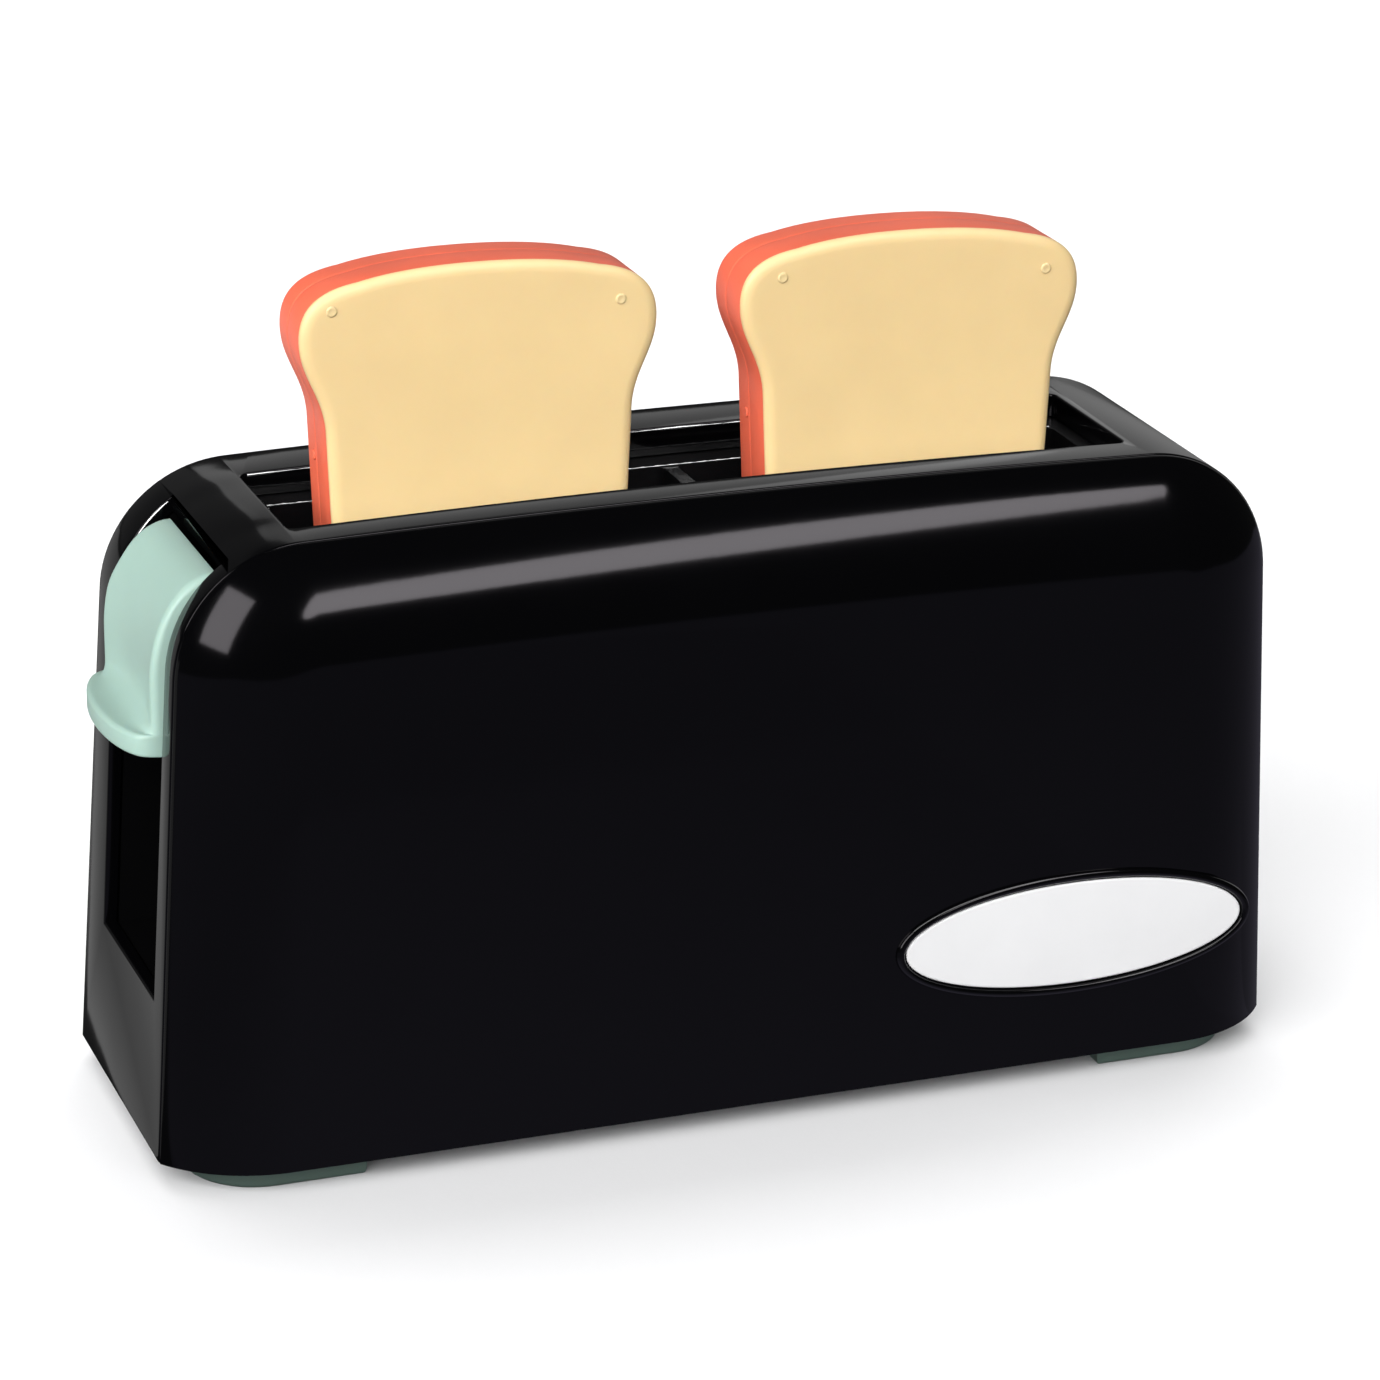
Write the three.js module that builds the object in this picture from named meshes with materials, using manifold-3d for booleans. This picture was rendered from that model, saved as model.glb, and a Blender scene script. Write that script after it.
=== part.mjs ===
// Toy toaster with a press-down lever that lifts two play slices through a see-saw.
// Millimetres, +Z up, +X along the housing away from the lever, -Y towards the front.
import * as THREE from "three";
import { mergeVertices } from "three/addons/utils/BufferGeometryUtils.js";
import Module from "manifold-3d";

// Housing
const hoodLengthBase = 200;
const leftLeanDegrees = 3.44;
const rightLeanDegrees = 1.92;
const hoodHeight = 105.3;
const crownRise = 1.6;
const cornerRadius = 22.6;
const bandFrontBase = 23.5;
const bandFrontTop = 22.2;
const bandRearBase = 30.3;
const bandRearTop = 26.2;
const coverBulge = 10.4;
const coverBorder = 20;
const wall = 2.2;
const seat = 0.3;
const overrun = 2;

// Cover lips, screw bosses and their ribs
const lipThickness = 1.2;
const lipReach = 2.5;
const lipRoot = 3;
const lipStart = 6;
const coverBossRadius = 3.2;
const coverBossHeight = 13;
const ribThickness = 1.6;

// Toast slot in the top
const slotEndInset = 26.4;
const slotWidth = 30.2;
const slotCorner = 1.5;
const slotRecess = 4.9;
const skirtWall = 1.6;

// Lever channel in the left end
const channelWidth = 34.5;
const channelSillGap = 4.1;
const channelHeadInset = 15.6;

// Oval badge on the front
const badgeCentreX = 59.1;
const badgeCentreZ = 27.9;
const badgeLength = 62.4;
const badgeHeight = 18.5;
const badgeThickness = 1;
const badgeRecess = 0.9;
const rimWidth = 1.6;
const rimProud = 0.8;

// Base plate and what stands on it
const baseRecess = 0.6;
const baseThickness = 2.2;
const baseClearance = 0.5;
const screwColumnInset = 20;
const screwRowOffset = 0.3;
const earThickness = 3;
const earFootWidth = 24;
const earHeadRadius = 5;
const postInset = 50;
const postRadius = 3;
const postTopGap = 2.4;
const spigotRadius = 2.9;
const spigotHeight = 11;

// Feet
const footHeight = 4.4;
const footLength = 28.6;
const footEndInset = 5.4;
const footSideInset = 3.9;
const footCorner = 13;
const footTaper = 0.9;

// Toast guide, the two pockets below the slot
const ledgeEnd = 3;
const ledgeSide = 5.8;
const guideFlange = 1.8;
const guideWall = 1.8;
const guideDepth = 24.5;
const dividerThickness = 2.4;
const guideFlangeOverhang = 1.3;
const guideFlangeSide = 4.3;
const guideBossInset = 28.2;
const guideBossOffset = 1.9;
const guideBossRadius = 2.2;
const guideBoreDepth = 3.4;

// Liner behind the lever channel
const wellWall = 1.6;
const wellGap = 0.8;
const armSlotWidth = 8.2;

// Lever
const leverSideGap = 0.7;
const leverGauge = 2.3;
const leverProud = 1.4;
const leverTopDrop = 1.6;
const leverRimReach = 11.5;
const leverRimRise = 18.4;
const leverBottomDrop = 36.9;
const shelfHeight = 3.8;
const shelfReach = 5.4;
const shelfLip = 1.5;
const scoopRise = 4.4;
const dishDepth = 1.3;
const leverEdge = 1.1;
const flangeThickness = 2;
const flangeDepth = 8.6;
const leverBossRadius = 3.6;
const leverBossRise = 11.2;
const leverBossReach = 6.2;

// Inner arm of the lever
const armGauge = 4;
const armWidth = 7;
const armBarRise = 2.2;
const armPlateGauge = 2;
const armPlateWidth = 12;
const armPlateHeight = 16;
const armGap = 0.7;
const armRiserGauge = 3;
const padGauge = 3;
const padWidth = 24;
const padOverreach = 3.6;

// Travel and see-saw
const leverTravel = 38;
const pivotDrop = 26.8;
const tipInset = 35.9;
const leverRadius = 48;
const liftRadius = 24;
const tipRadius = 3.5;
const tipGap = 0.4;
const rockerArmHeight = 4;
const rockerArmWidth = 4;
const rockerWidth = 24;
const hubRadius = 5;
const pinRadius = 2;
const pinClearance = 0.3;
const pinOverhang = 0.2;

// Return spring
const springInset = 34;
const springRadius = 4.4;
const springWire = 1.1;
const springTurns = 13;
const springEndTurns = 1.25;
const springEndPitch = 1.7;

// Toast carriage
const traySink = 1.6;
const traySideGap = 0.5;
const trayEndGap = 0.8;
const trayGauge = 2;
const trayLip = 1;
const trayLipRise = 2.3;
const beamOverreach = 7;
const beamWidth = 10;
const beamHeight = 8;
const beamTopGap = 1.1;
const beamWall = 1.8;
const sleeveRadius = 5.5;
const sleeveClearance = 0.4;
const webStartX = 14;
const webPostGap = 7;
const webGauge = 2.4;
const liftPadLength = 7;

// Play slices
const leftBread = { shift: -2.5, height: 65.5, fallDegrees: 0.6 };
const rightBread = { shift: 1.6, height: 64.6, fallDegrees: 1 };
const toastFaceY = -7;
const breadEndGap = 4.1;
const breadCorner = 3.6;
const faceThickness = 1.4;
const crustThickness = 12.8;
const crustRound = 2;
const edgeRound = 0.9;
const crustStep = 0.5;
const crustStepHalf = 0.35;

// Screws
const baseScrew = { shank: 1.2, head: 2.8, headHeight: 1.7, length: 13 };
const guideScrew = { shank: 0.95, head: 1.9, headHeight: 1.3, length: 5 };
const leverScrew = { shank: 1.1, head: 2.5, headHeight: 1.6, length: 7 };
const screwClearance = 0.35;
const headClearance = 0.5;
const crossWidth = 0.7;
const crossDepth = 0.8;

// Facet counts
const cornerSteps = 10;
const crownSteps = 6;
const borderSteps = 7;
const roundSteps = 12;
const ovalSteps = 40;
const springSteps = 8;
const springSides = 5;
const leverStations = 8;

// Bread outline, as shares of the half width and the height, from the bottom corner up
const breadFootShare = 0.809;
const breadWaistShares = [0.86, 0.6];
const breadSwellShares = [[0.877, 0.695], [1, 0.74], [1, 0.83]];
const breadShoulderShares = [[1, 0.914], [0.888, 0.955], [0.674, 0.97]];
const breadTopShares = [[0.411, 1], [0, 1]];

// Places that follow from the sizes above
const hoodBottom = footHeight;
const hoodTop = footHeight + hoodHeight;
const leftLean = THREE.MathUtils.degToRad(leftLeanDegrees);
const rightLean = THREE.MathUtils.degToRad(rightLeanDegrees);
const halfBase = hoodLengthBase / 2;
const halfTop = halfBase - hoodHeight * Math.tan((leftLean + rightLean) / 2);
const ledgeZ = hoodTop - slotRecess;
const baseZ = hoodBottom + baseRecess;
const baseTopZ = baseZ + baseThickness;
const screwColumnX = halfBase - screwColumnInset;
const slotLength = hoodLengthBase - 2 * slotEndInset;
const pocketX = slotLength / 2 - ledgeEnd;
const pocketY = slotWidth / 2 - ledgeSide;
const guideTopZ = ledgeZ - seat;
const guideBottomZ = guideTopZ - guideDepth;
const guideBossX = slotLength / 2 - guideBossInset;
const guideBossY = slotWidth / 2 + guideBossOffset;
const wellBackX = -(slotLength / 2 + skirtWall + guideFlangeOverhang + wellGap + wellWall);
const leverWidth = channelWidth - 2 * leverSideGap;
const leverBottom = hoodTop - leverBottomDrop;
const leverBossZ = leverBottom + leverBossRise;
const armBarZ = leverBottom + armBarRise;
const channelSill = leverBottom - leverTravel - channelSillGap;
const swing = Math.asin(leverTravel / 2 / leverRadius);
const liftTravel = (leverTravel * liftRadius) / leverRadius;
const pivotZ = leverBottom - pivotDrop;
const tipX = halfBase - tipInset;
const pivotX = tipX - leverRadius * Math.cos(swing);
const padZ = pivotZ + leverTravel / 2 + tipRadius + tipGap;
const padEndX = tipX - padOverreach;
const liftPadZ = pivotZ - liftTravel / 2 + tipRadius + tipGap;
const liftPadX = (liftRadius * (1 + Math.cos(swing))) / 2 - pivotX;
const liftPadStartX = liftPadX - liftPadLength / 2;
const liftPadEndX = liftPadX + liftPadLength / 2;
const springX = halfBase - springInset;
const postX = halfBase - postInset;
const beamEndX = postX + beamOverreach;
const beamTopZ = guideBottomZ - liftTravel - beamTopGap;
const webEndX = postX - webPostGap;
const trayTop = guideBottomZ + traySink;
const trayUnder = trayTop - trayGauge;
const toastBottom = trayTop + seat;
const pocketCentre = (pocketX + dividerThickness / 2) / 2;
const toastLeftX = leftBread.shift - pocketCentre;
const toastRightX = rightBread.shift + pocketCentre;
const breadHalfWidth = (pocketX - dividerThickness / 2) / 2 - breadEndGap;

const wasm = await Module();
wasm.setup();

// Solids and booleans

// Signed volume of an indexed closed mesh; it is negative when the faces point inwards.
function signedVolume(positions, index) {
  const a = new THREE.Vector3();
  const b = new THREE.Vector3();
  const c = new THREE.Vector3();
  let sum = 0;
  for (let i = 0; i < index.length; i += 3) {
    a.fromArray(positions, 3 * index[i]);
    b.fromArray(positions, 3 * index[i + 1]);
    c.fromArray(positions, 3 * index[i + 2]);
    sum += a.dot(b.cross(c));
  }
  return sum / 6;
}

// Closed manifold solid of a three.js geometry, with its faces pointing out.
function solid(geometry) {
  const bare = geometry.clone();
  bare.deleteAttribute("normal");
  bare.deleteAttribute("uv");
  const merged = mergeVertices(bare);
  const vertProperties = new Float32Array(merged.attributes.position.array);
  const triVerts = new Uint32Array(merged.index.array);
  if (signedVolume(vertProperties, triVerts) < 0) {
    triVerts.reverse();
  }
  return new wasm.Manifold(new wasm.Mesh({ numProp: 3, vertProperties, triVerts }));
}

function join(first, ...others) {
  return others.reduce((sum, other) => sum.add(other), first);
}

function cut(body, ...tools) {
  return tools.reduce((left, tool) => left.subtract(tool), body);
}

function meshOf(name, body, material) {
  const mesh = body.getMesh();
  const geometry = new THREE.BufferGeometry();
  geometry.setAttribute("position", new THREE.BufferAttribute(mesh.vertProperties, mesh.numProp));
  geometry.setIndex(new THREE.BufferAttribute(mesh.triVerts, 1));
  geometry.computeVertexNormals();
  const made = new THREE.Mesh(geometry, material);
  made.name = name;
  return made;
}

// Box between two corners.
function box(x0, x1, y0, y1, z0, z1) {
  const shape = new THREE.BoxGeometry(x1 - x0, y1 - y0, z1 - z0);
  shape.translate((x0 + x1) / 2, (y0 + y1) / 2, (z0 + z1) / 2);
  return solid(shape);
}

// Upright cylinder or cone from z0 to z1.
function post(x, y, radius, z0, z1, topRadius = radius) {
  const shape = new THREE.CylinderGeometry(topRadius, radius, z1 - z0, roundSteps);
  shape.rotateX(Math.PI / 2);
  shape.translate(x, y, (z0 + z1) / 2);
  return solid(shape);
}

// Cylinder along Y from y0 to y1.
function crossPin(x, z, radius, y0, y1) {
  const shape = new THREE.CylinderGeometry(radius, radius, y1 - y0, roundSteps);
  shape.translate(x, (y0 + y1) / 2, z);
  return solid(shape);
}

// Cylinder along X from x0 to x1.
function endPin(y, z, radius, x0, x1) {
  const shape = new THREE.CylinderGeometry(radius, radius, x1 - x0, roundSteps);
  shape.rotateZ(Math.PI / 2);
  shape.translate((x0 + x1) / 2, y, z);
  return solid(shape);
}

// Upright prism of a plan shape.
function prism(shape, z0, z1, curveSegments = cornerSteps) {
  const made = new THREE.ExtrudeGeometry(shape, { depth: z1 - z0, bevelEnabled: false, curveSegments });
  made.translate(0, 0, z0);
  return solid(made);
}

// Solid through a stack of rings, each a closed loop of as many points, capped in the XZ plane.
function stack(rings) {
  const count = rings[0].length;
  const positions = rings.flat().flatMap((p) => [p.x, p.y, p.z]);
  const index = [];
  for (let i = 0; i + 1 < rings.length; i += 1) {
    for (let j = 0; j < count; j += 1) {
      const near = i * count;
      const far = near + count;
      const next = (j + 1) % count;
      index.push(near + j, near + next, far + next);
      index.push(near + j, far + next, far + j);
    }
  }
  for (const [ring, turned] of [[0, true], [rings.length - 1, false]]) {
    const contour = rings[ring].map((p) => new THREE.Vector2(p.x, p.z));
    const turn = Math.sign(THREE.ShapeUtils.area(contour));
    for (const face of THREE.ShapeUtils.triangulateShape(contour, [])) {
      const corners = face.map((k) => contour[k]);
      const same = Math.sign(THREE.ShapeUtils.area(corners)) === turn;
      const ordered = same === turned ? face.slice().reverse() : face;
      index.push(...ordered.map((k) => ring * count + k));
    }
  }
  const geometry = new THREE.BufferGeometry();
  geometry.setAttribute("position", new THREE.Float32BufferAttribute(positions, 3));
  geometry.setIndex(index);
  return solid(geometry);
}

// Prism of an XZ contour between two leaning planes, each given as y for a height z.
function across(contour, frontY, rearY) {
  const ring = (y) => contour.map((p) => new THREE.Vector3(p.x, y(p.y), p.y));
  return stack([ring(frontY), ring(rearY)]);
}

// Prism of an XZ contour between two upright planes.
function slab(contour, y0, y1) {
  return across(contour, () => y0, () => y1);
}

function point(x, z) {
  return new THREE.Vector2(x, z);
}

// Points of an arc about a centre, both ends included.
function arc(centre, radius, from, to, steps) {
  const points = [];
  for (let i = 0; i <= steps; i += 1) {
    const angle = from + ((to - from) * i) / steps;
    points.push(point(centre.x + radius * Math.cos(angle), centre.y + radius * Math.sin(angle)));
  }
  return points;
}

function roundedRectangle(halfX, halfY, radius, Kind = THREE.Shape) {
  const shape = new Kind();
  shape.moveTo(-halfX + radius, -halfY);
  shape.lineTo(halfX - radius, -halfY);
  shape.absarc(halfX - radius, -halfY + radius, radius, -Math.PI / 2, 0);
  shape.lineTo(halfX, halfY - radius);
  shape.absarc(halfX - radius, halfY - radius, radius, 0, Math.PI / 2);
  shape.lineTo(-halfX + radius, halfY);
  shape.absarc(-halfX + radius, halfY - radius, radius, Math.PI / 2, Math.PI);
  shape.lineTo(-halfX, -halfY + radius);
  shape.absarc(-halfX + radius, -halfY + radius, radius, Math.PI, 1.5 * Math.PI);
  return shape;
}

// Pan-head screw along +Z, with the underside of its head at zero and a cross recess.
function screw(size) {
  const { shank, head, headHeight, length } = size;
  const profile = [
    point(0, -headHeight),
    point(head * 0.6, -headHeight),
    point(head, -headHeight * 0.5),
    point(head, 0),
    point(shank, 0),
    point(shank, length - shank * 1.5),
    point(0, length),
  ];
  const turned = new THREE.LatheGeometry(profile, roundSteps);
  turned.rotateX(Math.PI / 2);
  const body = solid(turned);
  const reach = head * 0.62;
  const half = crossWidth / 2;
  const low = -headHeight - overrun;
  const deep = -headHeight + crossDepth;
  return cut(body, box(-reach, reach, -half, half, low, deep), box(-half, half, -reach, reach, low, deep));
}

// Hood outline

// Place of the crease at a height, for side -1 at the front and 1 at the rear. The band is deeper behind
// the slot than in front of it, and leans in towards the top.
function creaseY(side, z) {
  const rise = (z - hoodBottom) / hoodHeight;
  const [base, top] = side < 0 ? [bandFrontBase, bandFrontTop] : [bandRearBase, bandRearTop];
  return side * (base + (top - base) * rise);
}

// Hood outline in the XZ plane, drawn in by an inset, from the lower left corner over the top to the
// lower right. The ends lean in, the corners are arcs, and the top is one long crowned arc.
function hoodOutline(inset, bottom = hoodBottom) {
  const crownRadius = (halfTop * halfTop + crownRise * crownRise) / (2 * crownRise);
  const crownCentre = point(0, hoodTop - crownRadius);
  const end = (lean) => {
    const up = point(Math.sin(lean), Math.cos(lean));
    const inward = point(Math.cos(lean), -Math.sin(lean));
    const foot = point(-halfBase, hoodBottom).addScaledVector(inward, cornerRadius);
    const offset = foot.clone().sub(crownCentre);
    const along = offset.dot(up);
    const reach = crownRadius - cornerRadius;
    const climb = -along + Math.sqrt(along * along - offset.lengthSq() + reach * reach);
    const corner = foot.clone().addScaledVector(up, climb);
    const turn = Math.atan2(corner.y - crownCentre.y, corner.x - crownCentre.x);
    const sillX = (bottom - hoodBottom) * Math.tan(lean) + inset / Math.cos(lean) - halfBase;
    const bend = arc(corner, cornerRadius - inset, Math.PI - lean, turn, cornerSteps);
    return { turn, points: [point(sillX, bottom), ...bend] };
  };
  const left = end(leftLean);
  const right = end(rightLean);
  const crown = arc(crownCentre, crownRadius - inset, left.turn, Math.PI - right.turn, crownSteps);
  return [...left.points, ...crown.slice(1, -1), ...right.points.map((p) => point(-p.x, p.y)).reverse()];
}

// Height of the hood's outer surface above a place along it.
function surfaceZ(x) {
  const outline = hoodOutline(0);
  const after = outline.findIndex((p, i) => i > 0 && p.x >= x);
  const from = outline[after - 1];
  const to = outline[after];
  return from.y + ((to.y - from.y) * (x - from.x)) / (to.x - from.x);
}

// Upside-down U between two insets of the hood outline.
function hoodBand(outer, inner, bottom) {
  return [...hoodOutline(outer, bottom), ...hoodOutline(inner, bottom).reverse()];
}

// Section of a cover's rounded border: the distance in from the crease and the bulge there. The border
// is one arc that meets the crease at an angle and the flat face without a corner.
const borderRadius = (coverBorder * coverBorder + coverBulge * coverBulge) / (2 * coverBulge);
function borderPoint(angle, thickness) {
  const radius = borderRadius - thickness;
  return {
    inset: coverBorder - radius * Math.sin(angle),
    bulge: coverBulge - borderRadius + radius * Math.cos(angle),
  };
}

// Pillow-shaped solid from the crease outwards, drawn in by a thickness. side is -1 for the front.
function pillow(side, thickness, bottom, start) {
  const creaseAngle = Math.acos((borderRadius - coverBulge) / (borderRadius - thickness));
  const sections = [];
  for (let i = 0; i <= borderSteps; i += 1) {
    sections.push(borderPoint(creaseAngle * (1 - i / borderSteps), thickness));
  }
  if (start < 0) {
    sections.unshift({ inset: sections[0].inset, bulge: start });
  }
  const rings = sections.map(({ inset, bulge }) =>
    hoodOutline(inset, bottom).map((p) => new THREE.Vector3(p.x, creaseY(side, p.y) + side * bulge, p.y)),
  );
  return stack(rings);
}

// Ellipse contour about the badge's centre.
function oval(growth) {
  const points = [];
  for (let i = 0; i < ovalSteps; i += 1) {
    const angle = (2 * Math.PI * i) / ovalSteps;
    const x = badgeCentreX + (badgeLength / 2 + growth) * Math.cos(angle);
    points.push(point(x, badgeCentreZ + (badgeHeight / 2 + growth) * Math.sin(angle)));
  }
  return points;
}

// Prism of an oval between two depths measured out of the front face.
function ovalPlate(growth, from, to) {
  const faceY = (z) => creaseY(-1, z) - coverBulge;
  return across(oval(growth), (z) => faceY(z) - to, (z) => faceY(z) - from);
}

// Housing pieces

const baseScrewPlaces = [-1, 1].flatMap((side) =>
  [-screwColumnX, 0, screwColumnX].map((x) => ({ x, y: creaseY(side, hoodBottom) + side * screwRowOffset })),
);
const guideScrewPlaces = [-1, 1].flatMap((side) =>
  [-guideBossX, guideBossX].map((x) => ({ x, y: side * guideBossY })),
);

function slotPrism(growth, z0, z1) {
  const shape = roundedRectangle(slotLength / 2 + growth, slotWidth / 2 + growth, slotCorner + growth);
  return prism(shape, z0, z1, 4);
}

// Front or rear pillow cover: a shell with a lip inside the centre frame, and bosses for the base screws.
function cover(side) {
  const shell = cut(
    pillow(side, 0, hoodBottom, 0),
    pillow(side, wall, hoodBottom - overrun, -overrun),
  );
  const lipBottom = hoodBottom + lipStart;
  const near = (z) => creaseY(side, z) + side * lipRoot;
  const far = (z) => creaseY(side, z) - side * lipReach;
  const lipContour = hoodBand(wall + seat, wall + seat + lipThickness, lipBottom);
  const lip = side < 0 ? across(lipContour, near, far) : across(lipContour, far, near);
  const solids = [shell, lip];
  const bores = [];
  const low = baseTopZ + seat;
  for (const { x, y } of baseScrewPlaces.filter((place) => place.y * side > 0)) {
    const wallY = creaseY(side, low + coverBossHeight) + side * (coverBulge - wall / 2);
    const half = ribThickness / 2;
    const high = low + coverBossHeight;
    solids.push(post(x, y, coverBossRadius, low, high));
    solids.push(box(x - half, x + half, Math.min(y, wallY), Math.max(y, wallY), low, high));
    bores.push(post(x, y, baseScrew.shank + screwClearance, low - overrun, high - ribThickness));
  }
  return cut(join(...solids), ...bores);
}

// The front cover also carries the raised oval rim and the recess of the badge.
function frontCover() {
  const rimmed = join(cover(-1), ovalPlate(rimWidth, -wall / 2, rimProud));
  return cut(rimmed, ovalPlate(seat, -badgeRecess, rimProud + overrun));
}

function badgePlate() {
  return ovalPlate(0, seat - badgeRecess, seat - badgeRecess + badgeThickness);
}

// Centre frame: the band over the top and ends, with the slot, its skirt and the lever channel.
function centreFrame() {
  const frontY = (z) => creaseY(-1, z) + seat;
  const rearY = (z) => creaseY(1, z) - seat;
  const band = across(hoodBand(0, wall, hoodBottom), frontY, rearY);
  const under = across(hoodOutline(wall / 2), frontY, rearY);
  const skirt = slotPrism(skirtWall, ledgeZ, hoodTop).intersect(under);
  const bosses = guideScrewPlaces.map(({ x, y }) =>
    post(x, y, guideBossRadius, ledgeZ, hoodTop).intersect(under),
  );
  const half = channelWidth / 2;
  const channel = box(
    -halfBase - overrun, -halfBase + channelHeadInset, -half, half, channelSill, hoodTop + overrun,
  );
  const bores = guideScrewPlaces.map(({ x, y }) =>
    post(x, y, guideScrew.shank + screwClearance, ledgeZ - overrun, ledgeZ + guideBoreDepth),
  );
  return cut(
    join(band, skirt, ...bosses),
    slotPrism(0, ledgeZ - overrun, hoodTop + overrun),
    channel,
    ...bores,
  );
}

// Plan outline inside the hood at the base, drawn in by the wall and a clearance.
function baseShape() {
  const inset = wall + baseClearance;
  const creaseAngle = Math.acos((borderRadius - coverBulge) / (borderRadius - inset));
  const sections = [];
  for (let i = 0; i <= borderSteps; i += 1) {
    sections.push(borderPoint(creaseAngle * (1 - i / borderSteps), inset));
  }
  const halfPlan = (side) => {
    const crease = creaseY(side, baseTopZ);
    const end = point(halfBase - inset, crease - side * inset);
    const bend = sections.map((section) => point(halfBase - section.inset, crease + side * section.bulge));
    const right = [end, ...bend.filter((p) => p.x < end.x)];
    const left = right.map((p) => point(-p.x, p.y)).reverse();
    return [...right, ...left];
  };
  return new THREE.Shape([...halfPlan(1), ...halfPlan(-1).reverse()]);
}

// Bearing ear for the see-saw's pin, tapered from its foot to a round head.
function ear(side) {
  const headZ = pivotZ;
  const head = arc(point(-pivotX, headZ), earHeadRadius, Math.PI, 0, roundSteps / 2);
  const foot = earFootWidth / 2;
  const contour = [
    point(-pivotX - foot, baseTopZ - baseThickness / 2),
    ...head,
    point(-pivotX + foot, baseTopZ - baseThickness / 2),
  ];
  const inner = side * (rockerWidth / 2 + headClearance);
  const outer = inner + side * earThickness;
  return slab(contour, Math.min(inner, outer), Math.max(inner, outer));
}

function basePlate() {
  const inside = baseTopZ - baseThickness / 2;
  const plate = prism(baseShape(), baseZ, baseTopZ);
  const posts = [-postX, postX].flatMap((x) => [
    post(x, 0, postRadius, inside, guideBottomZ - postTopGap, postRadius * 0.9),
    post(x, 0, postRadius * 2.2, inside, baseTopZ + postRadius, postRadius),
  ]);
  const spigot = post(-springX, 0, spigotRadius, inside, baseTopZ + spigotHeight, spigotRadius * 0.8);
  const reach = rockerWidth / 2 + headClearance + earThickness + overrun;
  const holes = baseScrewPlaces.map(({ x, y }) =>
    post(x, y, baseScrew.shank + screwClearance, baseZ - overrun, baseTopZ + overrun),
  );
  return cut(
    join(plate, ...posts, spigot, ear(-1), ear(1)),
    crossPin(-pivotX, pivotZ, pinRadius + pinClearance, -reach, reach),
    ...holes,
  );
}

// Mint foot bar with rounded outer corners and slightly tapered sides. side is -1 for the left foot.
function foot(side) {
  const outline = (shrink) => {
    const inner = halfBase - footEndInset - footLength + shrink;
    const outer = halfBase - footEndInset - shrink;
    const front = creaseY(-1, hoodBottom) - coverBulge + footSideInset + shrink;
    const rear = creaseY(1, hoodBottom) + coverBulge - footSideInset - shrink;
    const shape = new THREE.Shape();
    shape.moveTo(inner, front);
    shape.lineTo(outer - footCorner, front);
    shape.absarc(outer - footCorner, front + footCorner, footCorner, -Math.PI / 2, 0);
    shape.absarc(outer - footCorner, rear - footCorner, footCorner, 0, Math.PI / 2);
    shape.lineTo(inner, rear);
    return shape.getPoints(cornerSteps / 2);
  };
  const levels = [[footTaper, 0], [footTaper / 2, footTaper / 3], [0, baseZ - seat]];
  const rings = levels.map(([shrink, z]) =>
    outline(shrink).map((p) => new THREE.Vector3(p.x, z, p.y)),
  );
  const upright = stack(rings).rotate([90, 0, 0]).mirror([0, 1, 0]);
  const placed = side < 0 ? upright.mirror([1, 0, 0]) : upright;
  const wells = baseScrewPlaces
    .filter((place) => place.x * side > 0)
    .flatMap(({ x, y }) => [
      post(x, y, baseScrew.head + headClearance, -overrun, baseScrew.headHeight + 2 * seat),
      post(x, y, baseScrew.shank + screwClearance, -overrun, baseZ + overrun),
    ]);
  return cut(placed, ...wells);
}

// Toast guide: a flange under the slot with two open pockets parted by a divider.
function toastGuide() {
  const halfX = slotLength / 2 + skirtWall + guideFlangeOverhang;
  const halfY = slotWidth / 2 + guideFlangeSide;
  const flange = prism(roundedRectangle(halfX, halfY, slotCorner), guideTopZ - guideFlange, guideTopZ, 4);
  const outerX = pocketX + guideWall;
  const outerY = pocketY + guideWall;
  const tube = box(-outerX, outerX, -outerY, outerY, guideBottomZ, guideTopZ - guideFlange / 2);
  const length = pocketX - dividerThickness / 2;
  const pockets = [-1, 1].map((side) => {
    const shape = roundedRectangle(length / 2, pocketY, slotCorner);
    const centre = (side * (length + dividerThickness)) / 2;
    return prism(shape, guideBottomZ - overrun, guideTopZ + overrun, 4).translate([centre, 0, 0]);
  });
  const holes = guideScrewPlaces.map(({ x, y }) =>
    post(x, y, guideScrew.shank + screwClearance, guideTopZ - guideFlange - overrun, guideTopZ + overrun),
  );
  return cut(join(flange, tube), ...pockets, ...holes);
}

// Liner behind the lever channel: a floor, two side walls and a back with a slot for the lever's arm.
function leverWell() {
  const inner = channelWidth / 2 + seat;
  const outer = inner + wellWall;
  const floorTop = channelSill - seat;
  const block = box(-halfBase, wellBackX + wellWall, -outer, outer, floorTop - wellWall, hoodTop);
  const hollow = box(-halfBase - overrun, wellBackX, -inner, inner, floorTop, hoodTop + overrun);
  const half = armSlotWidth / 2;
  const slotLow = armBarZ - leverTravel - armGap;
  const slotHigh = armBarZ + armGauge + armGap;
  const slot = box(wellBackX - overrun, wellBackX + wellWall + overrun, -half, half, slotLow, slotHigh);
  const inside = slab(hoodOutline(wall + seat, hoodBottom + seat), -outer - overrun, outer + overrun);
  return cut(block, hollow, slot).intersect(inside);
}

function rockerPin() {
  const reach = rockerWidth / 2 + headClearance + earThickness + pinOverhang;
  return crossPin(-pivotX, pivotZ, pinRadius, -reach, reach);
}

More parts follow.
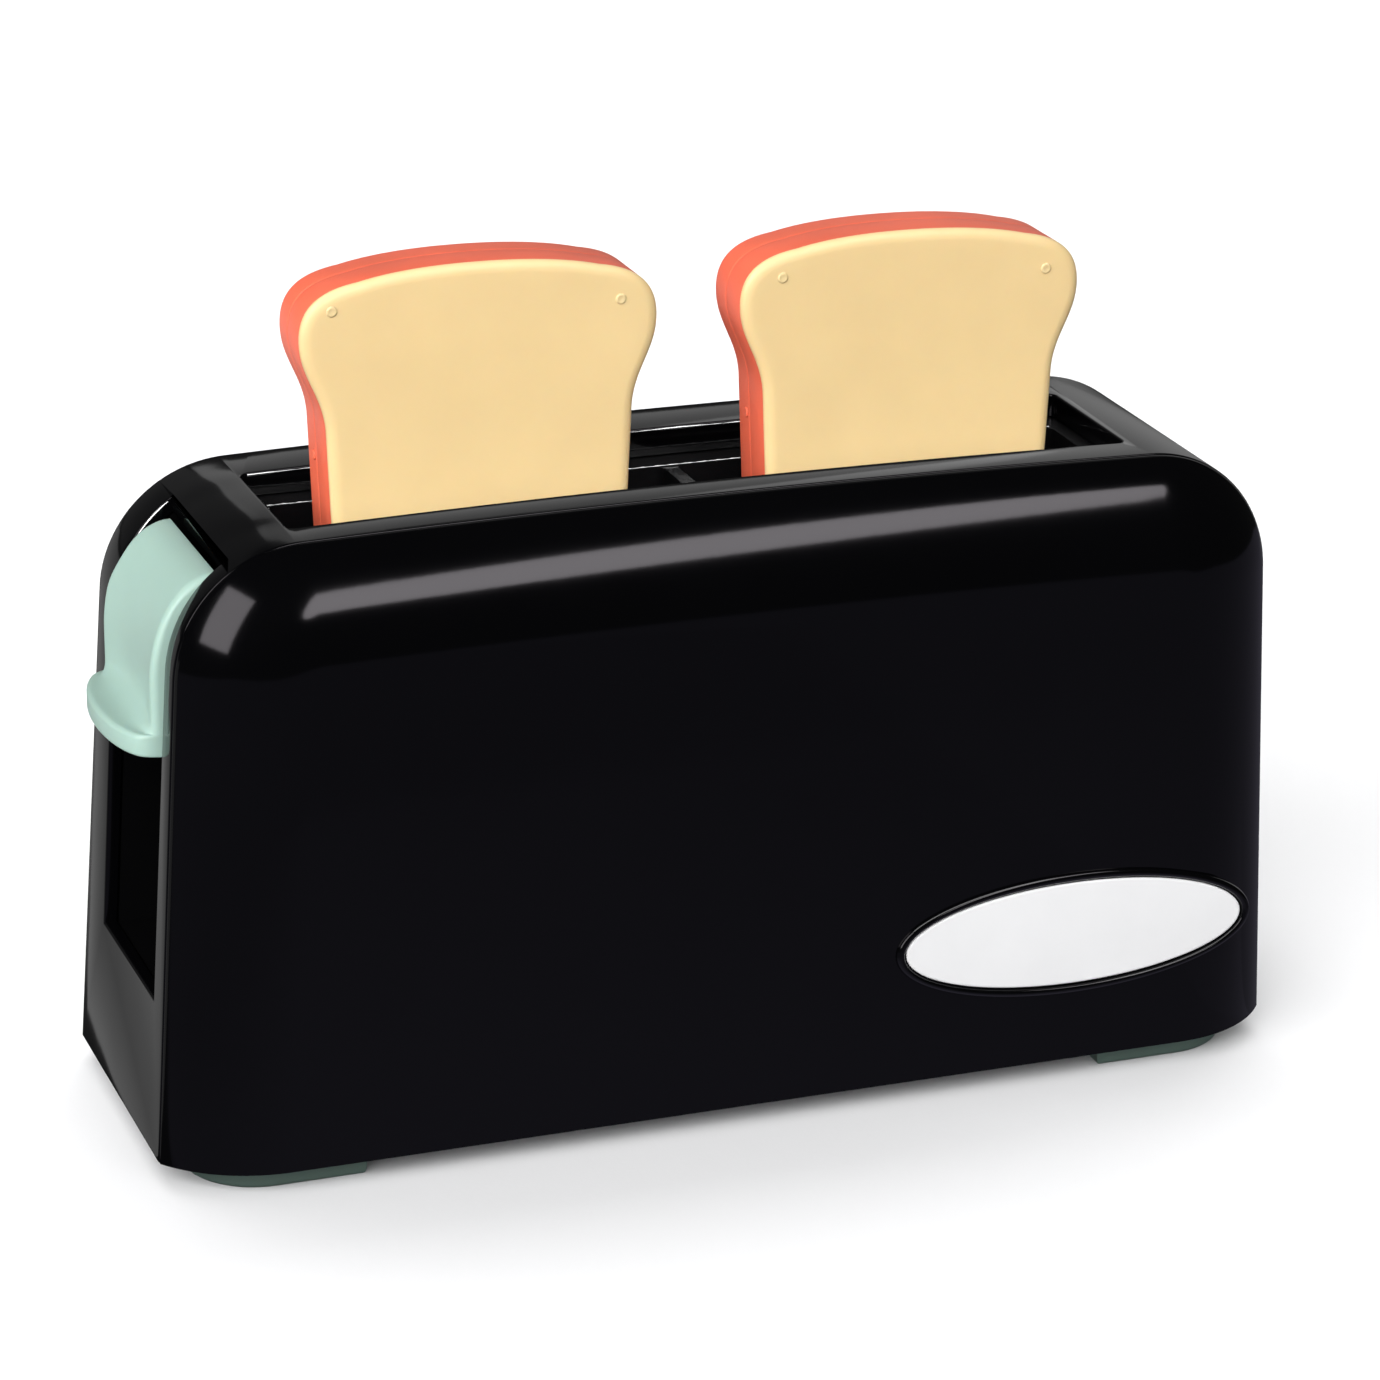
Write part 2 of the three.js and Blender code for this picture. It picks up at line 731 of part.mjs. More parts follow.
// Compression spring, one unbroken wire with its end turns drawn close together.
function springPath() {
  const low = baseTopZ + seat + springWire / 2;
  const high = padZ - seat - springWire / 2;
  const closed = springEndTurns * springEndPitch;
  const openTurns = springTurns - 2 * springEndTurns;
  const openPitch = (high - low - 2 * closed) / openTurns;
  const height = (turn) => {
    if (turn < springEndTurns) {
      return low + turn * springEndPitch;
    }
    if (turn > springTurns - springEndTurns) {
      return high - (springTurns - turn) * springEndPitch;
    }
    return low + closed + (turn - springEndTurns) * openPitch;
  };
  const points = [];
  for (let i = 0; i <= springTurns * springSteps; i += 1) {
    const turn = i / springSteps;
    const angle = 2 * Math.PI * turn;
    const x = -springX + springRadius * Math.cos(angle);
    points.push(new THREE.Vector3(x, springRadius * Math.sin(angle), height(turn)));
  }
  return points;
}

// Least gap of the wire to itself, measured between points that lie more than half a turn apart.
function leastGap(path) {
  let least = Infinity;
  path.forEach((p, i) => {
    path.slice(i + springSteps / 2 + 1).forEach((q) => {
      least = Math.min(least, p.distanceTo(q) - springWire);
    });
  });
  return least;
}

// Closed tube of a few sides round the spring's path, with a flat cap at each end.
function returnSpring() {
  const path = springPath();
  console.log(`lever_return_spring: least gap between turns ${leastGap(path).toFixed(2)} mm`);
  const axis = (z) => new THREE.Vector3(-springX, 0, z);
  const positions = [];
  const index = [];
  for (const centre of path) {
    const outward = centre.clone().sub(axis(centre.z)).normalize();
    for (let side = 0; side < springSides; side += 1) {
      const angle = (2 * Math.PI * side) / springSides;
      const place = centre.clone().addScaledVector(outward, (springWire / 2) * Math.cos(angle));
      place.z += (springWire / 2) * Math.sin(angle);
      positions.push(place.x, place.y, place.z);
    }
  }
  for (let i = 0; i + 1 < path.length; i += 1) {
    for (let side = 0; side < springSides; side += 1) {
      const near = i * springSides;
      const far = near + springSides;
      const next = (side + 1) % springSides;
      index.push(near + side, near + next, far + next);
      index.push(near + side, far + next, far + side);
    }
  }
  const last = (path.length - 1) * springSides;
  for (let side = 1; side + 1 < springSides; side += 1) {
    index.push(0, side + 1, side);
    index.push(last, last + side, last + side + 1);
  }
  const geometry = new THREE.BufferGeometry();
  geometry.setAttribute("position", new THREE.Float32BufferAttribute(positions, 3));
  geometry.setIndex(index);
  return solid(geometry);
}

// Lever

const endX = -halfBase + (leverBottom - hoodBottom) * Math.tan(leftLean);
const rimX = endX - leverProud;
const leverTopZ = surfaceZ(rimX + leverRimReach) - leverTopDrop;
const rimKneeZ = leverTopZ - leverRimRise;
const shelfTopZ = leverBottom + shelfHeight;

// Side profile of the lever at a station across it. u runs from -1 at the front edge to 1 at the rear.
// From the top edge it follows the rim arc, the dished pad, the scoop and the shelf, then the inside.
function leverProfile(u, edge, flanged) {
  const round = Math.sqrt(1 - u * u);
  const dish = dishDepth * (1 - u * u) + edge;
  const kneeX = rimX + leverRimReach;
  const outer = [];
  for (let i = 0; i <= cornerSteps; i += 1) {
    const angle = Math.PI / 2 + (Math.PI / 2) * (i / cornerSteps);
    const fade = Math.sin((Math.PI / 2) * (i / cornerSteps));
    const reach = leverRimReach - dish * fade;
    outer.push(point(kneeX + reach * Math.cos(angle), rimKneeZ + leverRimRise * Math.sin(angle)));
  }
  const padX = rimX + dish;
  const scoopTop = shelfTopZ + scoopRise * (0.25 + 0.75 * round);
  const lipX = rimX + edge - shelfReach * round;
  const scoopX = Math.min(lipX + shelfLip, padX);
  outer.push(point(padX, scoopTop));
  for (let i = 1; i <= 4; i += 1) {
    const angle = (Math.PI / 2) * (i / 4);
    const x = padX - (padX - scoopX) * (1 - Math.cos(angle));
    outer.push(point(x, scoopTop - (scoopTop - shelfTopZ) * Math.sin(angle)));
  }
  outer.push(point(lipX + shelfLip * 0.25, shelfTopZ - shelfLip * 0.1));
  outer.push(point(lipX, shelfTopZ - shelfLip * 0.5));
  outer.push(point(lipX, leverBottom + shelfLip * 0.5));
  outer.push(point(lipX + shelfLip * 0.4, leverBottom));
  const skinX = rimX + dishDepth + leverGauge;
  const innerX = flanged ? rimX + flangeDepth : skinX;
  const inner = [point(innerX, leverBottom)];
  for (let i = 0; i <= 5; i += 1) {
    const angle = Math.PI - (Math.PI / 2) * (i / 5);
    const x = kneeX + (leverRimReach - dishDepth - leverGauge) * Math.cos(angle);
    const z = rimKneeZ + (leverRimRise - leverGauge) * Math.sin(angle);
    inner.push(point(Math.max(x, innerX), z));
  }
  return [...outer, ...inner];
}

function leverBody() {
  const half = leverWidth / 2;
  const stations = [];
  for (let i = 0; i <= leverStations; i += 1) {
    stations.push({ y: -half + leverEdge + ((leverWidth - 2 * leverEdge) * i) / leverStations, edge: 0 });
  }
  const front = [{ y: -half, edge: leverEdge }, { y: -half + leverEdge * 0.3, edge: leverEdge * 0.3 }];
  const rear = front.map(({ y, edge }) => ({ y: -y, edge })).reverse();
  const all = [...front, ...stations, ...rear];
  const inside = half - flangeThickness;
  const step = seat / 2;
  const rings = [];
  const add = (y, edge, flanged) => {
    const profile = leverProfile(THREE.MathUtils.clamp(y / half, -1, 1), edge, flanged);
    rings.push(profile.map((p) => new THREE.Vector3(p.x, y, p.y)));
  };
  all.filter(({ y }) => y < -inside).forEach(({ y, edge }) => add(y, edge, true));
  add(-inside, 0, true);
  add(-inside + step, 0, false);
  all.filter(({ y }) => Math.abs(y) < inside - step).forEach(({ y, edge }) => add(y, edge, false));
  add(inside - step, 0, false);
  add(inside, 0, true);
  all.filter(({ y }) => y > inside).forEach(({ y, edge }) => add(y, edge, true));
  const shell = stack(rings);
  const bossStart = rimX + dishDepth + leverGauge / 2;
  const boss = endPin(0, leverBossZ, leverBossRadius, bossStart, rimX + leverGauge + leverBossReach);
  const tip = bossStart + leverGauge / 2;
  const bore = endPin(
    0, leverBossZ, leverScrew.shank + screwClearance, tip, rimX + leverGauge + leverBossReach + overrun,
  );
  return cut(join(shell, boss), bore);
}

const armPlateX = rimX + leverGauge + leverBossReach + seat;
const riserX = wellBackX + wellWall + armGap;

// Inner arm: a plate screwed to the lever's boss, a bar through the liner's back, a riser and a pad.
function leverArm() {
  const halfBar = armWidth / 2;
  const halfPlate = armPlateWidth / 2;
  const halfPad = padWidth / 2;
  const plateLow = armBarZ - armPlateGauge / 2;
  const plateHigh = plateLow + armPlateHeight;
  const plate = box(armPlateX, armPlateX + armPlateGauge, -halfPlate, halfPlate, plateLow, plateHigh);
  const bar = box(armPlateX + seat, riserX + armRiserGauge, -halfBar, halfBar, armBarZ, armBarZ + armGauge);
  const riser = box(riserX, riserX + armRiserGauge, -halfBar, halfBar, padZ + seat, armBarZ + armGauge);
  const pad = box(riserX, -padEndX, -halfPad, halfPad, padZ, padZ + padGauge);
  const reach = armPlateGauge + overrun;
  const hole = endPin(0, leverBossZ, leverScrew.shank + screwClearance, armPlateX - reach, armPlateX + reach);
  return cut(join(plate, bar, riser, pad), hole);
}

function leverScrewBody() {
  const headX = armPlateX + armPlateGauge + seat;
  return screw(leverScrew).rotate([0, -90, 0]).translate([headX, 0, leverBossZ]);
}

// See-saw

// Forked see-saw: a hub with two long arms under the lever's pad and two short ones under the carriage.
function rocker() {
  const half = rockerWidth / 2;
  const hub = crossPin(-pivotX, pivotZ, hubRadius, -half, half);
  const parts = [hub];
  for (const side of [-1, 1]) {
    const outer = side * (half - rockerArmWidth / 4);
    const inner = outer - side * rockerArmWidth;
    const low = Math.min(inner, outer);
    const high = Math.max(inner, outer);
    for (const [radius, turn] of [[leverRadius, Math.PI - swing], [liftRadius, -swing]]) {
      const along = point(Math.cos(turn), Math.sin(turn));
      const beside = point(-along.y, along.x).multiplyScalar(rockerArmHeight / 2);
      const centre = point(-pivotX, pivotZ);
      const tip = centre.clone().addScaledVector(along, radius);
      const contour = [
        centre.clone().add(beside),
        centre.clone().sub(beside),
        tip.clone().sub(beside),
        tip.clone().add(beside),
      ];
      parts.push(slab(contour, low, high));
      parts.push(crossPin(tip.x, tip.y, tipRadius, low, high));
    }
  }
  const bore = crossPin(-pivotX, pivotZ, pinRadius + pinClearance, -half - overrun, half + overrun);
  return cut(join(...parts), bore);
}

// Toast carriage

// Tray of one pocket, with a low lip along each long side.
function tray(side) {
  const halfY = pocketY - traySideGap;
  const inner = side * (dividerThickness / 2 + trayEndGap);
  const outer = side * (pocketX - trayEndGap);
  const x0 = Math.min(inner, outer);
  const x1 = Math.max(inner, outer);
  const plate = box(x0, x1, -halfY, halfY, trayUnder, trayTop);
  const lips = [-1, 1].map((end) => {
    const y = end * (halfY - trayLip);
    return box(x0, x1, Math.min(y, end * halfY), Math.max(y, end * halfY), trayUnder, trayTop + trayLipRise);
  });
  return join(plate, ...lips);
}

function toastCarriage() {
  const halfBeam = beamWidth / 2;
  const beamLow = beamTopZ - beamHeight;
  const beam = box(-beamEndX, beamEndX, -halfBeam, halfBeam, beamLow, beamTopZ);
  const sleeves = [-postX, postX].map((x) => post(x, 0, sleeveRadius, beamLow, beamTopZ));
  const bores = [-postX, postX].map((x) =>
    post(x, 0, postRadius + sleeveClearance, beamLow - overrun, beamTopZ + overrun),
  );
  const innerHalf = halfBeam - beamWall;
  const clear = postX - sleeveRadius - beamWall;
  const hollow = [
    [-clear, liftPadStartX - beamWall],
    [liftPadEndX + beamWall, clear],
  ].map(([x0, x1]) => box(x0, x1, -innerHalf, innerHalf, beamLow - overrun, beamTopZ - beamWall));
  const halfWeb = webGauge / 2;
  const webs = [-1, 1].flatMap((side) => {
    const near = side * webStartX;
    const far = side * webEndX;
    const x0 = Math.min(near, far);
    const x1 = Math.max(near, far);
    const inside = trayUnder + trayGauge / 2;
    return [
      box(x0, x1, -halfWeb, halfWeb, beamTopZ - beamWall / 2, inside),
      box(x0, x0 + webGauge, -halfBeam, halfBeam, beamTopZ - beamWall / 2, inside),
      box(x1 - webGauge, x1, -halfBeam, halfBeam, beamTopZ - beamWall / 2, inside),
    ];
  });
  const halfPad = rockerWidth / 2;
  const pad = box(liftPadStartX, liftPadEndX, -halfPad, halfPad, liftPadZ, liftPadZ + padGauge);
  const middle = (liftPadStartX + liftPadEndX) / 2;
  const stemLow = liftPadZ + padGauge / 2;
  const stemHigh = beamLow + overrun;
  const stem = box(liftPadStartX, liftPadEndX, -halfWeb, halfWeb, stemLow, stemHigh);
  const neck = box(middle - halfWeb, middle + halfWeb, -halfBeam, halfBeam, stemLow, stemHigh);
  const frame = cut(join(beam, ...sleeves), ...hollow, ...bores);
  return join(frame, ...webs, pad, stem, neck, tray(-1), tray(1));
}

// Play slices

// Bread outline about its own centre line, from the bottom up: straight sides that flare gently, a
// swelling S below the shoulders, round shoulders and a slightly domed top that falls to the right.
function breadOutline(bread) {
  const fall = Math.tan(THREE.MathUtils.degToRad(bread.fallDegrees));
  const place = ([x, z], sign = 1) => {
    const along = sign * x * breadHalfWidth;
    return [along, toastBottom + z * (bread.height - fall * along)];
  };
  const footX = breadFootShare * breadHalfWidth;
  const shape = new THREE.Shape();
  shape.moveTo(breadCorner - footX, toastBottom);
  shape.lineTo(footX - breadCorner, toastBottom);
  shape.quadraticCurveTo(footX, toastBottom, footX, toastBottom + breadCorner);
  shape.lineTo(...place(breadWaistShares));
  shape.bezierCurveTo(...breadSwellShares.flatMap((p) => place(p)));
  shape.bezierCurveTo(...breadShoulderShares.flatMap((p) => place(p)));
  shape.quadraticCurveTo(...breadTopShares.flatMap((p) => place(p)));
  const [shoulder] = breadShoulderShares.slice(-1);
  const [waist, waistRise] = breadWaistShares;
  const [first, second, widest] = breadSwellShares;
  const [high, low] = breadShoulderShares;
  shape.quadraticCurveTo(...place(breadTopShares[0], -1), ...place(shoulder, -1));
  shape.bezierCurveTo(...place(low, -1), ...place(high, -1), ...place(widest, -1));
  shape.bezierCurveTo(...place(second, -1), ...place(first, -1), ...place([waist, waistRise], -1));
  shape.lineTo(-footX, toastBottom + breadCorner);
  shape.quadraticCurveTo(-footX, toastBottom, breadCorner - footX, toastBottom);
  const points = shape.getPoints(6);
  return points.filter((p, i) => i === 0 || p.distanceTo(points[i - 1]) > edgeRound / 9);
}

// Closed loop moved inwards along its normals.
function drawIn(loop, inset) {
  return loop.map((p, i) => {
    const before = loop[(i + loop.length - 1) % loop.length];
    const after = loop[(i + 1) % loop.length];
    const along = after.clone().sub(before).normalize();
    return point(p.x - along.y * inset, p.y + along.x * inset);
  });
}

// Slice piece through inset and depth pairs, front to back.
function slice(bread, centreX, levels) {
  const outline = breadOutline(bread);
  const closed = outline[0].distanceTo(outline[outline.length - 1]) < edgeRound;
  const loop = closed ? outline.slice(0, -1) : outline;
  const rings = levels.map(([inset, y]) =>
    drawIn(loop, inset).map((p) => new THREE.Vector3(centreX + p.x, y, p.y)),
  );
  return stack(rings);
}

const crustFrontY = toastFaceY + faceThickness + seat;
const crustRearY = crustFrontY + crustThickness;
const crustMidY = (crustFrontY + crustRearY) / 2;

// Coral crust: a rounded rear edge and a fine step round its middle where its halves meet.
function crust(bread, centreX) {
  return slice(bread, centreX, [
    [edgeRound / 2, crustFrontY],
    [0, crustFrontY + edgeRound / 2],
    [0, crustMidY - crustStepHalf],
    [crustStep, crustMidY],
    [0, crustMidY + crustStepHalf],
    [0, crustRearY - crustRound],
    [crustRound * 0.134, crustRearY - crustRound / 2],
    [crustRound * 0.5, crustRearY - crustRound * 0.134],
    [crustRound, crustRearY],
  ]);
}

// Cream face plate with a softly rounded front edge.
function face(bread, centreX) {
  return slice(bread, centreX, [
    [edgeRound, toastFaceY],
    [edgeRound * 0.3, toastFaceY + edgeRound * 0.3],
    [0, toastFaceY + edgeRound],
    [0, toastFaceY + faceThickness],
  ]);
}

// Assembly

function paint(color, roughness, metalness = 0) {
  return new THREE.MeshStandardMaterial({ color, roughness, metalness, flatShading: true });
}

const toaster = new THREE.Group();
const add = (name, body, color, roughness, metalness) => {
  toaster.add(meshOf(name, body, paint(color, roughness, metalness)));
};
const black = 0x0d0d0f;
const mint = 0xb0d5c8;
const steel = 0xb8bcc0;

add("centre_frame", centreFrame(), black, 0.15);
add("front_cover", frontCover(), black, 0.15);
add("rear_cover", cover(1), black, 0.15);
add("base_plate", basePlate(), black, 0.4);
add("left_foot", foot(-1), mint, 0.4);
add("right_foot", foot(1), mint, 0.4);
add("toast_guide", toastGuide(), black, 0.3);
add("lever_well", leverWell(), black, 0.3);
add("badge_plate", badgePlate(), 0xf0f0ee, 0.35);
add("rocker_pivot_pin", rockerPin(), steel, 0.25, 1);
add("lever_return_spring", returnSpring(), steel, 0.3, 1);
add("lever", leverBody(), mint, 0.35);
add("lever_arm", leverArm(), black, 0.4);
add("lever_screw", leverScrewBody(), steel, 0.3, 1);
add("rocker", rocker(), 0xe8e6df, 0.5);
add("toast_carriage", toastCarriage(), black, 0.4);
for (const [side, bread, x] of [["left", leftBread, toastLeftX], ["right", rightBread, toastRightX]]) {
  add(`${side}_toast_crust`, crust(bread, x), 0xee6a4e, 0.4);
  add(`${side}_toast_face`, face(bread, x), 0xf7db9b, 0.4);
}
baseScrewPlaces.forEach(({ x, y }, i) => {
  const underFoot = Math.abs(x) > halfBase - footEndInset - footLength;
  const headZ = underFoot ? baseScrew.headHeight + seat : baseZ - seat;
  add(`base_screw_${i + 1}`, screw(baseScrew).translate([x, y, headZ]), steel, 0.3, 1);
});
guideScrewPlaces.forEach(({ x, y }, i) => {
  const headZ = guideTopZ - guideFlange - seat;
  add(`guide_screw_${i + 1}`, screw(guideScrew).translate([x, y, headZ]), steel, 0.3, 1);
});

// The origin is under the middle of the whole toaster, on the surface that it stands on.
const extent = new THREE.Box3().setFromObject(toaster);
const centre = extent.getCenter(new THREE.Vector3());
toaster.position.set(-centre.x, -centre.y, 0);

export default toaster;
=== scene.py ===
import math

import bmesh
import bpy
from mathutils import Matrix, Quaternion, Vector


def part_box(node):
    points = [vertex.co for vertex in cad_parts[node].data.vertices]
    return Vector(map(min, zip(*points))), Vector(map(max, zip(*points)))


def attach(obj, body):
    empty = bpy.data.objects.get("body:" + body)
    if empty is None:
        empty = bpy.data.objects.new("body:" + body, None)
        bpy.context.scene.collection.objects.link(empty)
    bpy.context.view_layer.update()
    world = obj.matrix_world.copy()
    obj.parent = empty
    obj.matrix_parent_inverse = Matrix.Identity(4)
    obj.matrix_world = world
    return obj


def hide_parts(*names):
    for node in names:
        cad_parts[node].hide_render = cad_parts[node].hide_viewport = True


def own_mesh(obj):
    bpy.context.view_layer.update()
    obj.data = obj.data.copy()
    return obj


# Toy toaster: glossy black housing, mint lever and feet, two coral and cream play slices.
# Shapes are worked out in millimetres from the middle of the hood, as in the CAD, and placed in metres.
# The hood is the outline that the frame and both covers share.

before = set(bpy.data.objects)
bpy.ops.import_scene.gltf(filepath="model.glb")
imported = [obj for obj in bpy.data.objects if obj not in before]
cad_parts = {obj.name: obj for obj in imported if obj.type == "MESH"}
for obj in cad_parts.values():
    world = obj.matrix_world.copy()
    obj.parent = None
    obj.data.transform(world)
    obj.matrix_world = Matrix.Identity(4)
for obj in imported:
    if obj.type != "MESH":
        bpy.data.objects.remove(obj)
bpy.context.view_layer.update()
MM = 0.001

# Hood
HALF_BASE = 100.0
LEFT_LEAN = math.radians(3.44)
RIGHT_LEAN = math.radians(1.92)
HOOD_BOTTOM = 4.4
HOOD_HEIGHT = 105.3
HOOD_TOP = HOOD_BOTTOM + HOOD_HEIGHT
HALF_TOP = HALF_BASE - HOOD_HEIGHT * math.tan((LEFT_LEAN + RIGHT_LEAN) / 2)
CROWN_RISE = 1.6
CORNER_RADIUS = 22.6
FRONT_BASE = 23.5
FRONT_TOP = 22.2
REAR_BASE = 30.3
REAR_TOP = 26.2
WALL = 2.2
FRAME_ROUND = 0.35
FRAME_ROUND_STEPS = 3

# Covers and the seam at their crease
BULGE = 10.4
BORDER = 20.0
BORDER_RADIUS = (BORDER ** 2 + BULGE ** 2) / (2 * BULGE)
BORDER_STEPS = 22
LIP_STEPS = 4
FACE_LAP = 0.8
SEAM = 0.06
SEAM_ROUND = 0.25
SEAM_STEP = 0.15

# Slot, ledge and pockets
SLOT_HALF_X = 73.6
SLOT_HALF_Y = 15.1
SLOT_CORNER = 1.5
LEDGE_Z = HOOD_TOP - 4.9
SKIRT_WALL = 1.6
SKIRT_LAP = 0.3
OVERCUT = 4.0

# Lever channel
CHANNEL_HALF = 17.25
CHANNEL_SILL = 30.7
CHANNEL_HEAD = -84.4

# Beads on the edges: a mean radius, then waves of a height and a rate each. The channel's bead swells by
# a stretch of a half wave, given by its first share and its span.
SLOT_BEAD = (0.13, (0.08, 0.42), (0.03, 1.9))
SLOT_BEAD_DROP = 0.42
SLOT_BEAD_STEPS = 60
LEDGE_BEAD = (0.09, (0.04, 2.3), (0.03, 5.1))
LEDGE_BEAD_HALF = 70.4
LEDGE_BEAD_STEP = 0.4
LEDGE_BEAD_Y = 9.25
LEDGE_BEAD_DROP = 0.08
CHANNEL_BEAD_RADIUS = 0.14
CHANNEL_BEAD_SWELL = 0.3
CHANNEL_BEAD_INSET = 0.4
CHANNEL_BEAD_DROP = 13.0
CHANNEL_BEAD_GAP = 0.2
CHANNEL_BEAD_BACK = 0.08
CHANNEL_BEAD_FIRST = 0.12
CHANNEL_BEAD_SPAN = 0.78
BEAD_SIDES = 10

# Lever; the taper of its rear edge starts and runs in shares of the upper bend's rise
LEVER_HALF = 16.55
LEVER_BOTTOM = 72.8
LEVER_PROUD = 1.4
LEVER_TOP_DROP = 1.6
RIM_REACH = 11.5
RIM_RISE = 18.4
SHELF_HEIGHT = 3.8
SHELF_REACH = 5.4
SHELF_LIP = 1.5
SHELF_ROUND = 0.9
SOLE_ROUND = 0.6
SCOOP_RISE = 4.4
SCOOP_EDGE_SHARE = 0.25
SCOOP_START = 0.6
SCOOP_LEAST = 0.05
DISH = 1.3
LEVER_EDGE = 1.6
LEVER_GAUGE = 2.3
LEVER_TAPER = 2.0
TAPER_START = 0.35
TAPER_RUN = 0.4
TAPER_POWER = 4
FLANGE = 2.0
FLANGE_DEPTH = 8.6
FLANGE_STEP = 0.1
LEVER_STATIONS = 44
SIDE_STEPS = 6
BEND_STEPS = 30
SCOOP_STEPS = 10
SHELF_STEPS = 6
SOLE_STEPS = 4
INSIDE_STEPS = 12

# Badge: its rim and plate as sections of growth and height out of the front face
BADGE_X = 59.1
BADGE_Z = 27.9
BADGE_A = 31.2
BADGE_B = 9.25
BADGE_STEPS = 120
RIM_SECTION = (
    (1.95, -0.3), (1.85, 0.2), (1.65, 0.55), (1.35, 0.77), (1.0, 0.84), (0.68, 0.77), (0.45, 0.58),
    (0.32, 0.3), (0.3, -0.3),
)
PLATE_SECTION = ((0.0, -0.4), (0.0, 0.22), (-0.08, 0.33), (-0.22, 0.4), (-0.5, 0.41))

# Feet: from the floor up, the section's inset and height
FOOT_INNER = 66.0
FOOT_OUTER = 94.6
FOOT_FRONT = -30.0
FOOT_REAR = 36.8
FOOT_CORNER = 13.0
FOOT_STEPS = 14
FOOT_SECTION = ((1.5, 0.0), (1.1, 0.02), (0.75, 0.12), (0.5, 0.32), (0.38, 0.6), (0.3, 1.0), (0.0, 4.6))

# Slices: BREAD has the height and the fall to the right in degrees, DOTS the places from the foot's middle
TOAST_X = {"left": -38.2, "right": 37.3}
TOAST_BOTTOM = 82.0
BREAD = {"left": (65.5, 0.6), "right": (64.6, 1.0)}
DOTS = {"left": ((-25.2, 59.6), (23.8, 57.5)), "right": ((-23.4, 58.6), (24.1, 56.2))}
BREAD_HALF = 30.4
BREAD_CORNER = 3.6
FOOT_SHARE = 0.809
FACE_Y = -7.0
FACE_THICK = 1.4
FACE_INSET = 3.0
FACE_ROUND = 2.0
FACE_ROUND_DEPTH = 1.2
CRUST_THICK = 12.8
CRUST_SEAT = 0.3
CRUST_START = 0.1
CRUST_ROUND = 2.0
CRUST_BACK_INSET = 2.6
GATE_RISE = 33.0
GATE_Y = 2.5
GATE_BAND = 2.5

# A slice's outline in shares of its half width and height, with the points that pull its curves
WAIST, WIDEST, SHOULDER, TOP = (0.86, 0.6), (1, 0.83), (0.674, 0.97), (0, 1)
WAIST_PULL, SWELL_PULL = (0.877, 0.695), (1, 0.74)
CHEEK_PULL, SHOULDER_PULL, TOP_PULL = (1, 0.914), (0.888, 0.955), (0.411, 1)

# Inset against depth of the crust's front edge, inset against distance from the middle of its parting
# groove, and radius against rise of the small marks
CRUST_FRONT_EDGE = ((0.6, 0.0), (0.35, 0.04), (0.1, 0.18), (0.0, 0.45))
GROOVE = ((0.0, 0.5), (0.03, 0.25), (0.13, 0.08))
MARK_SECTION = ((0.95, -0.1), (0.92, 0.08), (0.8, 0.2), (0.62, 0.25), (0.45, 0.2), (0.25, 0.17))
MARK_SIDES = 20

# Return spring
SPRING_X = -66.0
SPRING_RADIUS = 4.4
SPRING_WIRE = 1.1
SPRING_TURNS = 13
SPRING_END_TURNS = 1.25
SPRING_END_PITCH = 1.7
SPRING_STEPS = 24
WIRE_SIDES = 10

# Ripples in the gloss: rate, and the places in metres between which they fade in
RIPPLE_RATE = 52
RIPPLE_DETAIL = 0.6
RIPPLE_X = (-0.058, -0.072)
RIPPLE_Z = (0.088, 0.098)
RIPPLE_LEAST_X = 0.08
RIPPLE_LEAST_Z = 0.2

# Distances in metres at which points are joined and slivers go, and angles in degrees
JOIN_GAP = 1e-7
CUT_GAP = 2e-6
SLIVER = 1e-6
SHARP = 35
BEVEL_FROM = 45

# Finish: the bevel of the moulded CAD nodes, how far roughness varies, where the mottle turns from dark to
# pale, and how light spreads under the skin
SOFT_EDGE = 0.3
SOFT_FROM = 50
ROUGHNESS_SPREAD = 0.15
MOTTLE_RANGE = (0.3, 0.7)
SUBSURFACE_RADIUS = (1.0, 0.6, 0.3)
SUBSURFACE_SCALE = 0.002

# The row frame has its origin under the middle of the whole toaster, so the hood's middle is a little off.
face_lo, face_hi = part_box("left_toast_face")
OX = (face_lo[0] + face_hi[0]) / 2 / MM - TOAST_X["left"]
OY = face_lo[1] / MM - FACE_Y


def place(x, y, z):
    """A point in the row frame, in metres, from millimetres about the middle of the hood."""
    return Vector(((x + OX) * MM, (y + OY) * MM, z * MM))


# Mesh helpers

def mesh_object(name, verts, faces, sharp=SHARP):
    """A smooth-shaded object with sharp edges above an angle, its faces turned outwards."""
    mesh = bpy.data.meshes.new(name)
    mesh.from_pydata([place(*v) for v in verts], [], faces)
    bm = bmesh.new()
    bm.from_mesh(mesh)
    bmesh.ops.remove_doubles(bm, verts=bm.verts, dist=JOIN_GAP)
    bmesh.ops.recalc_face_normals(bm, faces=bm.faces)
    bm.to_mesh(mesh)
    bm.free()
    mesh.shade_smooth()
    mesh.set_sharp_from_angle(angle=math.radians(sharp))
    obj = bpy.data.objects.new(name, mesh)
    bpy.context.scene.collection.objects.link(obj)
    return obj


def strip(a, b, count, closed):
    """Quads between two rings of as many points, given by their first index."""
    last = count if closed else count - 1
    return [(a + j, a + (j + 1) % count, b + (j + 1) % count, b + j) for j in range(last)]


def loft(name, rings, sharp=SHARP):
    """Closed solid through a stack of closed rings, capped at both ends."""
    count = len(rings[0])
    verts = [v for ring in rings for v in ring]
    faces = []
    for i in range(len(rings) - 1):
        faces += strip(i * count, (i + 1) * count, count, True)
    faces.append(tuple(range(count)))
    first = (len(rings) - 1) * count
    faces.append(tuple(range(first, first + count)))
    return mesh_object(name, verts, faces, sharp)


